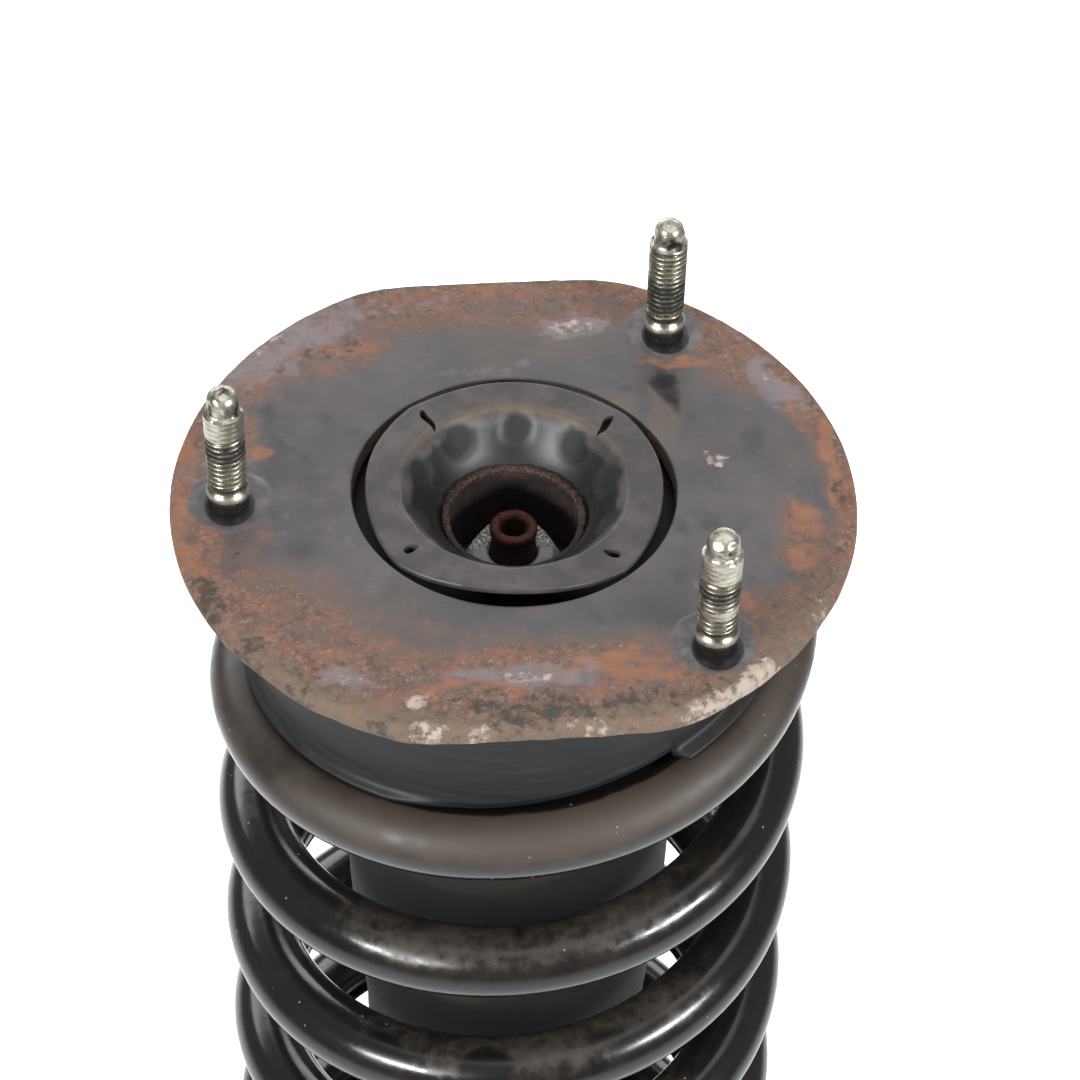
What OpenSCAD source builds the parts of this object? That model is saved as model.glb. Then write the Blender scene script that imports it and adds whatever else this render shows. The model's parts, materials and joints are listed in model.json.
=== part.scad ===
// Coil-over damper strut with a rubber-bonded three-stud top mount.
// The origin is the centre of the bolt bore in the lower eye. +Z runs up the
// damper rod to the mount plate, and the lower bolt lies along Y.
// The spring sets every radius of the top mount, and the stroke sets the height.
// Heights called "drop" are measured down from the top face of the mount plate.

/* [Spring] */
// Diameter of the spring wire
wire_d = 15; // [11:0.5:18]
// Outer diameter of the spring
spring_od = 128; // [124:1:156]
// Total turns of the spring, ends included
spring_turns = 6.9; // [5.5:0.1:8.3]
// Rise of the spring for each open turn
spring_pitch = 38.4; // [32:0.1:46]
// Turns that lie flat at the lower end
flat_low = 0.3; // [0.2:0.05:0.5]
// Turns that lie flat at the upper end
flat_top = 0.08; // [0.05:0.01:0.3]

/* [Spring seats] */
// Width of the lower spring seat outside the spring
perch_rim = 4.5; // [3.5:0.5:10]
// Thickness of the rubber under the end of the spring
low_pad_t = 5; // [3:0.5:10]
// Thickness of the rubber over the end of the spring
top_pad_t = 12; // [10:0.5:16]
// Thickness of the rubber wall inside the top of the spring
pad_wall_t = 5; // [4:0.5:7]
// Sheet thickness of the upper spring seat
seat_t = 2.5; // [1.5:0.1:3]
// Width of the flange on the upper spring seat
seat_flange_w = 8.2; // [6:0.1:12]

/* [Mount plate] */
// Width of the mount plate outside the circle of the studs
plate_rim = 12.5; // [9:0.5:20]
// Thickness of the mount plate
plate_t = 4; // [3:0.5:5]
// Depth of the flat along each side of the plate
flat_depth = 4.5; // [0.5:0.5:6]
// Width of the plate's ledge inside the housing
hole_ledge = 3.8; // [2:0.1:5]

/* [Mount studs] */
// Angle of each paired stud from the X axis
stud_angle = 52; // [35:1:60]
// Thread diameter of the studs
stud_d = 8; // [6:0.5:10]
// Height of the studs above the plate
stud_h = 30.2; // [18:0.1:40]
// Length of the reduced tip of a stud
stud_tip_h = 5.4; // [2:0.1:7]
// Height of the plain collar at the foot of a stud
stud_collar_h = 5.2; // [1:0.1:7]

/* [Top mount] */
// Depth of the housing below the plate
housing_h = 30; // [24:1:32]
// Sheet thickness of the housing
housing_t = 2.6; // [1.5:0.1:3.5]
// Width of the gap between the plate and the sides of the retainer disc
disc_gap = 2.7; // [2.4:0.1:5]
// Width of the rim of the retainer disc outside its dish
disc_rim = 6.8; // [5:0.1:8]
// Sheet thickness of the retainer disc
disc_t = 1.7; // [1:0.1:2]
// Wall thickness of the centre sleeve
sleeve_t = 1.5; // [1:0.1:2]
// Width of the rod nut across its flats
rod_nut_w = 17; // [14:0.5:20]
// Height of the rod nut
rod_nut_h = 6; // [5:0.5:10]

/* [Damper] */
// Length of the damper's stroke
stroke = 105; // [85:1:126]
// Outer diameter of the damper tube
tube_d = 50; // [44:1:60]
// Wall thickness of the damper tube
tube_t = 2; // [1.5:0.1:3]
// Diameter of the piston rod
rod_d = 14; // [12:0.5:18]
// Thread diameter of the piston rod's upper end
rod_end_d = 10; // [8:0.5:11]
// Height of the piston
piston_h = 18; // [12:1:24]
// Height of the rod guide
guide_h = 24; // [20:1:32]
// Depth of the gas chamber at full length
gas_h = 44; // [30:1:60]
// Free length of the bump stop
bump_stop_h = 62; // [40:1:75]
// Length of the bump stop when it is pressed flat
stop_pressed_h = 24; // [18:1:30]
// Wall thickness of the dust tube
dust_t = 1.8; // [1:0.1:2.5]

/* [Lower eye] */
// Diameter of the bolt bore in the lower sleeve
bolt_bore_d = 12.2; // [10:0.1:14.7]
// Length of the lower sleeve
lower_sleeve_w = 46; // [38:1:60]
// Length of the lower sleeve outside the eye at each end
sleeve_proud = 5; // [2:0.5:8]
// Outer diameter of the lower eye
eye_d = 40; // [36:1:48]
// Wall thickness of the lower eye
eye_wall = 3.5; // [2.5:0.1:4]

/* [Hidden] */
$fn = 96;

// Small gaps and laps
fit_gap = 0.05;
pad_gap = 0.3;
lap = 1;

// Lower eye
eye_r = eye_d / 2;
eye_w = lower_sleeve_w - 2 * sleeve_proud;
sleeve_wall = 3.4;
lower_sleeve_r = bolt_bore_d / 2 + sleeve_wall;
neck_r = 17;
rubber_w = eye_w - 2;

// Damper radii
tube_r = tube_d / 2;
bore_r = tube_r - tube_t;
rod_r = rod_d / 2;
rod_end_r = rod_end_d / 2;
crimp_w = 3.5;
guide_r = bore_r - fit_gap;
seal_r = rod_r + 6;
bush_t = 2;
bush_h = 12;
seal_h = 8;
ring_r = 1;
stop_ring_r = rod_r + 4.5;
piston_r = bore_r - 0.4;
band_h = 9;
band_t = 1;
port_r = 1.6;
port_circle_r = (rod_end_r + bore_r) / 2;
port_count = 8;
shim_t = 0.6;
shim_count = 3;
shim_r = port_circle_r + port_r + 0.6;
shim_step = 1.5;
piston_nut_w = rod_end_d + 6;
float_cup_h = 8;
float_cup_r = bore_r - 7;

// Damper heights, from the eye up to the mount plate
tube_z0 = eye_r + 4;
tube_floor_t = 6;
float_h = 14;
float_z = tube_z0 + tube_floor_t + gas_h;
float_room = 23;
rod_low_z = float_z + float_h + float_room + stroke;
rod_tail = 2;
piston_nut_h = 8;
shim_stack_h = shim_t * shim_count;
piston_z = rod_low_z + rod_tail + piston_nut_h + shim_stack_h;
piston_top_z = piston_z + piston_h;
stop_ring_h = 5;
stop_ring_z = piston_top_z + shim_stack_h + 4;
guide_z = stop_ring_z + stop_ring_h + 1;
guide_top_z = guide_z + guide_h;
crimp_t = 1.6;
tube_top_z = guide_top_z + fit_gap + crimp_t;
rod_shoulder_z = tube_top_z + stop_pressed_h + stroke;

// Drops of the rod's fixings
sleeve_drop = 7.3;
rod_end_drop = sleeve_drop + 3;
rod_end_proud = 7.3;
rod_bore_d = 5.5;
rod_bore_h = 9;
washer_t = 2.4;
washer_r = rod_nut_w / 2 + 3;
sleeve_floor_t = 3;
sleeve_low_drop = rod_end_drop + rod_end_proud + rod_nut_h + washer_t + sleeve_floor_t;
sleeve_r = washer_r + 1.7 + sleeve_t;
cup_t = 2;
top_z = rod_shoulder_z + cup_t + sleeve_low_drop;
plate_z = top_z - plate_t;
seat_z = plate_z - seat_t;

// Spring wire path, hung from the upper seat
wire_r = wire_d / 2;
coil_r = (spring_od - wire_d) / 2;
spring_bore_r = coil_r - wire_r;
end_pitch = 2;
ease_turns = 0.45;
tip_angle = 174;
wire_sides = 14;
wire_steps = 40;
ease_top = spring_turns - flat_top - ease_turns;

// Running integral of a smooth step from 0 to 1
function ease(u) = u <= 0 ? 0 : u >= 1 ? u - 0.5 : pow(u, 3) - pow(u, 4) / 2;
function wire_rise(t) = end_pitch * t + (spring_pitch - end_pitch) * ease_turns
    * (ease((t - flat_low) / ease_turns) - ease((t - ease_top) / ease_turns));
wire_z0 = seat_z - top_pad_t - wire_r - wire_rise(spring_turns);
function wire_z(t) = wire_z0 + wire_rise(t);
function wire_angle(t) = tip_angle - 360 * (spring_turns - t);

// Spring seats
pad_skirt_r = spring_bore_r - 1.4;
pad_r_in = pad_skirt_r - pad_wall_t;
pad_r_out = coil_r - 2.5;
pad_lip_r = coil_r + 2;
pad_lip_t = 2;
pad_skirt_h = 1;
pad_split = 0.004;
pad_steps = 72;
seat_wall_t = 2.2;
seat_wall_r = pad_r_in - pad_gap - seat_wall_t;
seat_wall_h = 18;
seat_flange_r = pad_r_in - pad_gap + seat_flange_w;
perch_z = wire_z0 - wire_r - low_pad_t;
perch_r = coil_r + wire_r + perch_rim;
perch_t = 3;
perch_lip_h = 8;
perch_dish_h = 20;
perch_collar_h = 14;
low_pad_r_in = spring_bore_r - 3;
low_pad_r_out = coil_r + wire_r - 0.5;
low_pad_rise = 7;
low_pad_stop = 0.95;

// Bump stop and dust tube
stop_bore_r = rod_r + 0.6;
stop_r = rod_r + 14;
stop_neck_r = stop_r - 4;
cup_r = stop_r + 1.5 + cup_t;
cup_skirt_h = 11;
cup_lip = 1.1;
dust_gap = 5.6;
dust_low_r = tube_r + dust_gap + dust_t;
dust_r = max(dust_low_r, cup_r + cup_lip + dust_t) + 4;
dust_taper_h = 46;
dust_top_z = rod_shoulder_z + cup_t - cup_skirt_h + cup_lip + dust_t;
dust_low_z = perch_z + stroke;

// Top mount
stud_r = stud_d / 2;
stud_tip_r = stud_r - 0.7;
stud_collar_r = stud_r + 0.7;
stud_head_r = stud_r + 2;
stud_head_h = 1.5;
stud_angles = [180, stud_angle, -stud_angle];
stud_pcr = seat_flange_r + 1 + stud_head_r;
plate_r = stud_pcr + plate_rim;
housing_r = seat_wall_r - 0.9;
housing_bore_r = housing_r - housing_t;
housing_floor_r = cup_r + 2.5;
plate_hole_r = housing_bore_r - hole_ledge;
disc_lift = 2;
// Turn of the retainer disc and the rod nut against the plate's flats
disc_turn = -6;
disc_half_w = plate_hole_r - disc_gap;
disc_side_r = disc_half_w * 1.24;
disc_corner_r = disc_half_w + 1.8;
dish_r = disc_half_w - disc_rim;
dish_low_drop = 9.5;
slot_l = 6.5;
slot_w = 1.6;
slot_r = dish_r + 2.3;

// A ring with a round bore, from height z upwards
module ring(r_out, r_in, h, z) {
    translate([0, 0, z]) difference() {
        cylinder(h = h, r = r_out);
        translate([0, 0, -lap]) cylinder(h = h + 2 * lap, r = r_in);
    }
}

// A hexagonal nut with a plain bore
module hex_nut(w, h, bore, z) {
    corner_r = w / sqrt(3);
    translate([0, 0, z]) difference() {
        cylinder(h = h, r = corner_r, $fn = 6);
        translate([0, 0, -lap]) cylinder(h = h + 2 * lap, r = bore);
    }
}

// A stack of thin discs that shrink by one step each
module shim_stack(z, dir) {
    for (i = [0 : shim_count - 1])
        ring(shim_r - shim_step * i, rod_end_r + fit_gap, shim_t - 0.02,
             z + (dir > 0 ? shim_t * i : -shim_t * (i + 1)));
}

// Solid swept through a list of rings, each with the same number of points
module swept(rings) {
    n = len(rings[0]);
    m = len(rings);
    sides = [for (i = [0 : m - 2], j = [0 : n - 1])
        [i * n + j, (i + 1) * n + j, (i + 1) * n + (j + 1) % n, i * n + (j + 1) % n]];
    start = [for (j = [0 : n - 1]) j];
    end = [for (j = [n - 1 : -1 : 0]) (m - 1) * n + j];
    polyhedron(points = [for (r = rings, p = r) p],
               faces = concat(sides, [start, end]), convexity = 8);
}

// Points [radius, height] of a section turned to angle a
function turned(section, a) = [for (p = section) [p[0] * cos(a), p[0] * sin(a), p[1]]];

function wire_section(z) = [for (k = [0 : wire_sides - 1])
    let (b = 360 * k / wire_sides) [coil_r + wire_r * cos(b), z + wire_r * sin(b)]];

module mount_plate() {
    color("dimgray") translate([0, 0, plate_z]) difference() {
        intersection() {
            cylinder(h = plate_t, r = plate_r);
            translate([-2 * plate_r, flat_depth - plate_r, -lap])
                cube([4 * plate_r, 2 * (plate_r - flat_depth), plate_t + 2 * lap]);
        }
        translate([0, 0, -lap]) cylinder(h = plate_t + 2 * lap, r = plate_hole_r);
        for (a = stud_angles) rotate(a) translate([stud_pcr, 0, -lap])
            cylinder(h = plate_t + 2 * lap, r = stud_collar_r + fit_gap);
    }
}

module mount_studs() {
    tip_z = top_z + stud_h - stud_tip_h;
    color("silver") for (a = stud_angles) rotate(a) translate([stud_pcr, 0, 0]) {
        translate([0, 0, plate_z - stud_head_h]) cylinder(h = stud_head_h, r = stud_head_r);
        translate([0, 0, plate_z - lap])
            cylinder(h = plate_t + stud_collar_h + lap, r = stud_collar_r);
        translate([0, 0, top_z]) cylinder(h = tip_z - top_z, r = stud_r);
        translate([0, 0, tip_z - lap]) cylinder(h = stud_tip_h + lap, r = stud_tip_r);
    }
}

module mount_housing() {
    color("dimgray") {
        ring(housing_r, housing_bore_r, housing_h, plate_z - housing_h);
        ring(housing_r, housing_floor_r, housing_t, plate_z - housing_h);
    }
}

module mount_rubber() {
    low = plate_z - housing_h + housing_t;
    color("#2b2b2b") rotate_extrude() polygon([
        [sleeve_r, low + 3.5], [sleeve_r + 5, low + 4.5], [housing_floor_r, low + 4],
        [housing_floor_r + 3, low], [housing_bore_r, low], [housing_bore_r, top_z - 8],
        [housing_bore_r - 5, top_z - 6], [dish_r + 2, top_z - 6.5],
        [sleeve_r + 5, top_z - 9.5], [sleeve_r, top_z - dish_low_drop - 0.5]
    ]);
}

module upper_spring_seat() {
    color("dimgray") {
        ring(seat_flange_r, seat_wall_r, seat_t, seat_z);
        ring(seat_wall_r + seat_wall_t, seat_wall_r, seat_wall_h, seat_z + seat_t - seat_wall_h);
    }
}

function top_pad_section(z) = [
    [pad_r_in, seat_z], [pad_r_in, z - pad_skirt_h], [pad_skirt_r, z - pad_skirt_h],
    [pad_skirt_r, z + wire_r + pad_gap], [pad_lip_r, z + wire_r + pad_gap],
    [pad_lip_r, z + wire_r + pad_gap + pad_lip_t],
    [pad_r_out, z + wire_r + pad_gap + pad_lip_t + 1], [pad_r_out, seat_z]
];

module upper_spring_pad() {
    color("#343434") swept([for (i = [0 : pad_steps])
        let (t = spring_turns - 1 + pad_split + (1 - 2 * pad_split) * i / pad_steps)
        turned(top_pad_section(wire_z(t)), wire_angle(t))]);
}

// Outline of the disc: four long arcs that meet at trimmed corners
module disc_outline() {
    intersection() {
        intersection_for (a = [0 : 90 : 270]) rotate(a)
            translate([disc_half_w - disc_side_r, 0]) circle(r = disc_side_r);
        circle(r = disc_corner_r);
    }
}

module retainer_disc() {
    rim_z = top_z + disc_lift - disc_t;
    color("dimgray") difference() {
        union() {
            translate([0, 0, rim_z]) rotate(disc_turn) linear_extrude(disc_t) difference() {
                disc_outline();
                circle(r = dish_r);
            }
            rotate_extrude() polygon([
                [dish_r + 0.8, rim_z + disc_t], [dish_r, rim_z + disc_t],
                [dish_r - 3.3, top_z - 1.5], [sleeve_r + 2.6, top_z - 5.5],
                [sleeve_r + fit_gap, top_z - dish_low_drop + disc_t],
                [sleeve_r + fit_gap, top_z - dish_low_drop],
                [sleeve_r + 3, top_z - dish_low_drop + 1.6],
                [dish_r - 2.4, top_z - 3.2], [dish_r + 0.8, rim_z]
            ]);
        }
        for (a = [45 : 90 : 315]) rotate(a + disc_turn)
            translate([slot_r - slot_l / 2, -slot_w / 2, rim_z - 6])
                cube([slot_l, slot_w, disc_t + 6 + lap]);
    }
}

module centre_sleeve() {
    low = top_z - sleeve_low_drop;
    color("saddlebrown") {
        ring(sleeve_r, sleeve_r - sleeve_t, sleeve_low_drop - sleeve_drop, low);
        ring(sleeve_r, rod_end_r + fit_gap, sleeve_floor_t, low);
    }
}

module rod_washer() {
    color("silver") ring(washer_r, rod_end_r + fit_gap, washer_t,
                         top_z - sleeve_low_drop + sleeve_floor_t);
}

module rod_nut() {
    color("silver") rotate(disc_turn)
        hex_nut(rod_nut_w, rod_nut_h, rod_end_r + fit_gap,
                top_z - sleeve_low_drop + sleeve_floor_t + washer_t);
}

module piston_rod() {
    end_z = top_z - rod_end_drop;
    color("silver") difference() {
        union() {
            translate([0, 0, rod_low_z]) cylinder(h = end_z - rod_low_z, r = rod_end_r);
            translate([0, 0, piston_top_z + shim_stack_h])
                cylinder(h = rod_shoulder_z - piston_top_z - shim_stack_h, r = rod_r);
        }
        translate([0, 0, end_z - rod_bore_h]) cylinder(h = rod_bore_h + lap, d = rod_bore_d);
    }
}

module bump_stop_cup() {
    color("gray") {
        ring(cup_r, rod_end_r + fit_gap, cup_t, rod_shoulder_z);
        ring(cup_r, cup_r - cup_t, cup_skirt_h, rod_shoulder_z + cup_t - cup_skirt_h);
        ring(cup_r + cup_lip, cup_r - cup_t, cup_lip, rod_shoulder_z + cup_t - cup_skirt_h);
    }
}

module bump_stop() {
    color("khaki") rotate_extrude() polygon(concat(
        [[stop_bore_r, rod_shoulder_z], [stop_r, rod_shoulder_z]],
        [for (i = [0 : 2], p = [[stop_r, 0.18], [stop_neck_r, 0.26]])
            [p[0] - i * 1.2, rod_shoulder_z - bump_stop_h * (p[1] + 0.27 * i)]],
        [[stop_neck_r - 4, rod_shoulder_z - bump_stop_h],
         [stop_bore_r, rod_shoulder_z - bump_stop_h]]));
}

module dust_tube() {
    top = dust_top_z;
    low = dust_low_z;
    color("#3a3733") rotate_extrude() polygon([
        [cup_r + fit_gap, top], [dust_r - 1, top], [dust_r, top - 1],
        [dust_r - 0.6, low + dust_taper_h + 6], [dust_low_r, low + 6], [dust_low_r, low],
        [dust_low_r - dust_t, low], [dust_low_r - dust_t, low + 6],
        [dust_r - 0.6 - dust_t, low + dust_taper_h + 6],
        [dust_r - dust_t, top - dust_t], [cup_r + fit_gap, top - dust_t]
    ]);
}

module coil_spring() {
    steps = round(spring_turns * wire_steps);
    color("#232323") swept([for (i = [0 : steps])
        let (t = spring_turns * i / steps)
        turned(wire_section(wire_z(t)), wire_angle(t))]);
}

module rebound_stop() {
    color("gray") ring(stop_ring_r, rod_r + fit_gap, stop_ring_h, stop_ring_z);
}

module upper_valve_shims() {
    color("silver") shim_stack(piston_top_z, 1);
}

module piston() {
    color("gray") difference() {
        ring(piston_r, rod_end_r + fit_gap, piston_h, piston_z);
        ring(bore_r + lap, bore_r - band_t - 0.1, band_h, piston_z + (piston_h - band_h) / 2);
        for (i = [0 : port_count - 1]) rotate(360 * i / port_count)
            translate([port_circle_r, 0, piston_z - lap])
                cylinder(h = piston_h + 2 * lap, r = port_r);
    }
}

module piston_band() {
    color("darkslategray") ring(bore_r - fit_gap, bore_r - band_t, band_h - 0.1,
                                piston_z + (piston_h - band_h) / 2 + 0.05);
}

module lower_valve_shims() {
    color("silver") shim_stack(piston_z, -1);
}

module piston_nut() {
    color("silver") hex_nut(piston_nut_w, piston_nut_h, rod_end_r + fit_gap,
                            rod_low_z + rod_tail);
}

module damper_tube() {
    color("#2a2a2a") difference() {
        translate([0, 0, tube_z0]) cylinder(h = tube_top_z - tube_z0, r = tube_r);
        translate([0, 0, tube_z0 + tube_floor_t])
            cylinder(h = tube_top_z - crimp_t - tube_z0 - tube_floor_t, r = bore_r);
        translate([0, 0, tube_top_z - crimp_t - lap])
            cylinder(h = crimp_t + 2 * lap, r = bore_r - crimp_w);
    }
}

module rod_guide() {
    groove_z = guide_z + guide_h / 2;
    color("gray") difference() {
        ring(guide_r, rod_r + 0.6, guide_h, guide_z);
        translate([0, 0, guide_top_z - seal_h]) cylinder(h = seal_h + lap, r = seal_r + fit_gap);
        translate([0, 0, guide_z - lap]) cylinder(h = bush_h + lap, r = rod_r + bush_t + fit_gap);
        ring(bore_r + lap, guide_r - 2 * ring_r, 2 * ring_r + 0.2, groove_z - ring_r - 0.1);
    }
}

module rod_guide_seal_ring() {
    color("black") translate([0, 0, guide_z + guide_h / 2])
        rotate_extrude() translate([guide_r - ring_r, 0]) circle(r = ring_r, $fn = 24);
}

module rod_guide_bush() {
    color("peru") ring(rod_r + bush_t, rod_r + fit_gap, bush_h, guide_z);
}

module rod_seal() {
    color("black") ring(seal_r, rod_r + fit_gap, seal_h - 0.1, guide_top_z - seal_h);
}

module lower_spring_seat() {
    color("dimgray") rotate_extrude() polygon([
        [tube_r + fit_gap, perch_z - perch_dish_h - perch_collar_h],
        [tube_r + perch_t, perch_z - perch_dish_h - perch_collar_h],
        [tube_r + perch_t, perch_z - perch_dish_h - perch_t],
        [tube_r + perch_t + 7, perch_z - perch_dish_h - perch_t],
        [low_pad_r_in - 1, perch_z - perch_t], [perch_r, perch_z - perch_t],
        [perch_r, perch_z + perch_lip_h], [perch_r - perch_t, perch_z + perch_lip_h],
        [perch_r - perch_t, perch_z], [low_pad_r_in - 2, perch_z],
        [tube_r + perch_t + 6, perch_z - perch_dish_h],
        [tube_r + fit_gap, perch_z - perch_dish_h]
    ]);
}

function low_pad_top(t) = t > low_pad_stop
    ? wire_z0 + wire_r * 0.3
    : min(wire_z(t) - wire_r - pad_gap, perch_z + low_pad_t + low_pad_rise);

module lower_spring_pad() {
    color("#343434") swept([for (i = [0 : pad_steps])
        let (t = pad_split + (1 - 4 * pad_split) * i / pad_steps)
        turned([[low_pad_r_in, perch_z], [low_pad_r_out, perch_z],
                [low_pad_r_out, low_pad_top(t)], [low_pad_r_in, low_pad_top(t)]],
               wire_angle(0) + 360 * t)]);
}

module lower_eye() {
    color("#2a2a2a") difference() {
        union() {
            translate([0, eye_w / 2, 0]) rotate([90, 0, 0]) cylinder(h = eye_w, r = eye_r);
            cylinder(h = tube_z0, r = neck_r);
        }
        translate([0, eye_w, 0]) rotate([90, 0, 0])
            cylinder(h = 2 * eye_w, r = eye_r - eye_wall);
    }
}

module eye_rubber() {
    color("black") rotate([90, 0, 0])
        ring(eye_r - eye_wall, lower_sleeve_r + fit_gap, rubber_w, -rubber_w / 2);
}

module lower_sleeve() {
    color("silver") rotate([90, 0, 0])
        ring(lower_sleeve_r, bolt_bore_d / 2, lower_sleeve_w, -lower_sleeve_w / 2);
}

module floating_piston() {
    color("gray") difference() {
        translate([0, 0, float_z]) cylinder(h = float_h, r = piston_r);
        translate([0, 0, float_z - lap]) cylinder(h = float_cup_h + lap, r = float_cup_r);
        ring(bore_r + lap, piston_r - 2 * ring_r, 2 * ring_r + 0.2, float_z + float_h / 2 - ring_r);
    }
}

module floating_piston_ring() {
    color("black") translate([0, 0, float_z + float_h / 2 + 0.1])
        rotate_extrude() translate([bore_r - fit_gap - ring_r, 0]) circle(r = ring_r, $fn = 24);
}

mount_plate();
mount_studs();
mount_housing();
mount_rubber();
upper_spring_seat();
upper_spring_pad();
retainer_disc();
centre_sleeve();
rod_washer();
rod_nut();
piston_rod();
bump_stop_cup();
bump_stop();
dust_tube();
coil_spring();
rebound_stop();
upper_valve_shims();
piston();
piston_band();
lower_valve_shims();
piston_nut();
damper_tube();
rod_guide();
rod_guide_seal_ring();
rod_guide_bush();
rod_seal();
lower_spring_seat();
lower_spring_pad();
lower_eye();
eye_rubber();
floating_piston();
floating_piston_ring();
lower_sleeve();
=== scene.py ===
"""Coil-over damper strut with a studded rubber top mount, dressed over its CAD frame.

Sizes inside the classes are millimetres. They turn to metres where a mesh is made.
The frame's origin is the lower bolt's centre, and +Z runs up to the mount plate.
"""
import json
import logging
import math
from dataclasses import dataclass, field
from enum import Enum
from typing import Any, Sequence

import bmesh
import bpy
import numpy as np
from mathutils import Matrix, Vector, noise


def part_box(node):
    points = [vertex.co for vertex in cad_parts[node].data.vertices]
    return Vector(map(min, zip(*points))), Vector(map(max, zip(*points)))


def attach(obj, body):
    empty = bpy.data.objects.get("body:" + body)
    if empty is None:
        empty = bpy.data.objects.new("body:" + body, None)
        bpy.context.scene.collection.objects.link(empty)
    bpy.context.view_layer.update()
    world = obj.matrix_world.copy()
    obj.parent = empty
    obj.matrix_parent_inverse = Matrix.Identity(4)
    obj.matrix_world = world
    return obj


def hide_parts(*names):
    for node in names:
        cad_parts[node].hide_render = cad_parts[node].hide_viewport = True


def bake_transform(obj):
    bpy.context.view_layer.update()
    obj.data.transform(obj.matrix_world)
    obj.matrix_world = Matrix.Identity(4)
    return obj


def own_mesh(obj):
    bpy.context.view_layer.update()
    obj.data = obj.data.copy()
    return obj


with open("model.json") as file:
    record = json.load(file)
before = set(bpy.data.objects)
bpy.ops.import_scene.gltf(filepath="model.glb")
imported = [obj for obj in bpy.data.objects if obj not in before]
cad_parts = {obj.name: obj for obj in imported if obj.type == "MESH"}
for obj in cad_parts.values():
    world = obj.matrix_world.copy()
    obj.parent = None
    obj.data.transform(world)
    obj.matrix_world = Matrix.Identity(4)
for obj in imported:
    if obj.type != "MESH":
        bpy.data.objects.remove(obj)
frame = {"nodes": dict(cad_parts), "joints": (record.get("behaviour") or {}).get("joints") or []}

LOG = logging.getLogger("strut")
MM = 0.001
Corner = tuple[float, float, float]
Points = np.ndarray


# --------------------------------------------------------------------------
# Colours and finishes


def linear(shade: str) -> tuple[float, float, float, float]:
    """Turn an sRGB hex value into the linear colour that a shader takes.

    Args:
        shade: Six hex digits after a hash.

    Returns:
        Red, green, blue and an alpha of 1.
    """
    parts = [int(shade[i:i + 2], 16) / 255 for i in (1, 3, 5)]
    lit = [p / 12.92 if p <= 0.04045 else ((p + 0.055) / 1.055) ** 2.4 for p in parts]
    return lit[0], lit[1], lit[2], 1.0


def add(tree: bpy.types.NodeTree, kind: str, feeds: dict[str | int, Any] | None = None,
        **settings: Any) -> bpy.types.Node:
    """Add a node with its settings, and feed its sockets.

    Args:
        tree: The node tree that the node goes in.
        kind: Blender's name of the node type.
        feeds: Socket name or number to a value or to another node's output.
        settings: Properties of the node itself.

    Returns:
        The new node.
    """
    node = tree.nodes.new(kind)
    for name, value in settings.items():
        setattr(node, name, value)
    for socket, value in (feeds or {}).items():
        if isinstance(value, bpy.types.NodeSocket):
            tree.links.new(value, node.inputs[socket])
        else:
            node.inputs[socket].default_value = value
    return node


class Follows(Enum):
    """What a layer follows when it isn't a cover worked out on the mesh."""

    GRAIN = "an even noise"
    SPOTS = "separate round spots"
    TOPS = "faces that look up"


@dataclass(frozen=True)
class Layer:
    """One wear, dirt or corrosion layer on top of a base finish.

    `follows` is a Follows, or the name of a cover that the mesh carries. `size` is the
    noise's width in millimetres, and `low` and `high` are where the layer starts and is
    full. `relief` is its height in millimetres.
    """

    colour: str
    follows: Follows | str
    size: float
    low: float
    high: float
    rough: float | None = None
    metal: float | None = None
    sway: float = 1.0
    stretch: tuple[float, float, float] = (1.0, 1.0, 1.0)
    relief: float = 0.0
    most: float = 1.0
    detail: float = 5.0

    def mask(self, tree: bpy.types.NodeTree, place: bpy.types.NodeSocket) -> bpy.types.NodeSocket:
        """Build the nodes that say where the layer lies.

        Args:
            tree: The material's node tree.
            place: The object coordinate, in metres.

        Returns:
            A socket from 0 to `most`.
        """
        scale = tuple(1 / (MM * self.size * s) for s in self.stretch)
        laid = add(tree, "ShaderNodeMapping", {"Vector": place, "Scale": scale}).outputs[0]
        if self.follows is Follows.SPOTS:
            cells = add(tree, "ShaderNodeTexVoronoi", {"Vector": laid, "Scale": 1.0})
            value = add(tree, "ShaderNodeMath", {0: 1.0, 1: cells.outputs["Distance"]},
                        operation="SUBTRACT").outputs[0]
        else:
            cloud = add(tree, "ShaderNodeTexNoise", {
                "Vector": laid, "Scale": 1.0, "Detail": self.detail, "Roughness": 0.6})
            value = cloud.outputs[0]
        base = None
        if self.follows is Follows.TOPS:
            facing = add(tree, "ShaderNodeNewGeometry").outputs["Normal"]
            base = add(tree, "ShaderNodeSeparateXYZ", {0: facing}).outputs["Z"]
        elif isinstance(self.follows, str):
            base = add(tree, "ShaderNodeAttribute", attribute_name=self.follows).outputs["Fac"]
        if base is not None:
            shift = add(tree, "ShaderNodeMath", {0: value, 1: 0.5},
                        operation="SUBTRACT").outputs[0]
            value = add(tree, "ShaderNodeMath", {0: shift, 1: self.sway, 2: base},
                        operation="MULTIPLY_ADD").outputs[0]
        return add(tree, "ShaderNodeMapRange", {
            "Value": value, "From Min": self.low, "From Max": self.high, "To Max": self.most},
            interpolation_type="SMOOTHSTEP").outputs[0]


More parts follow.
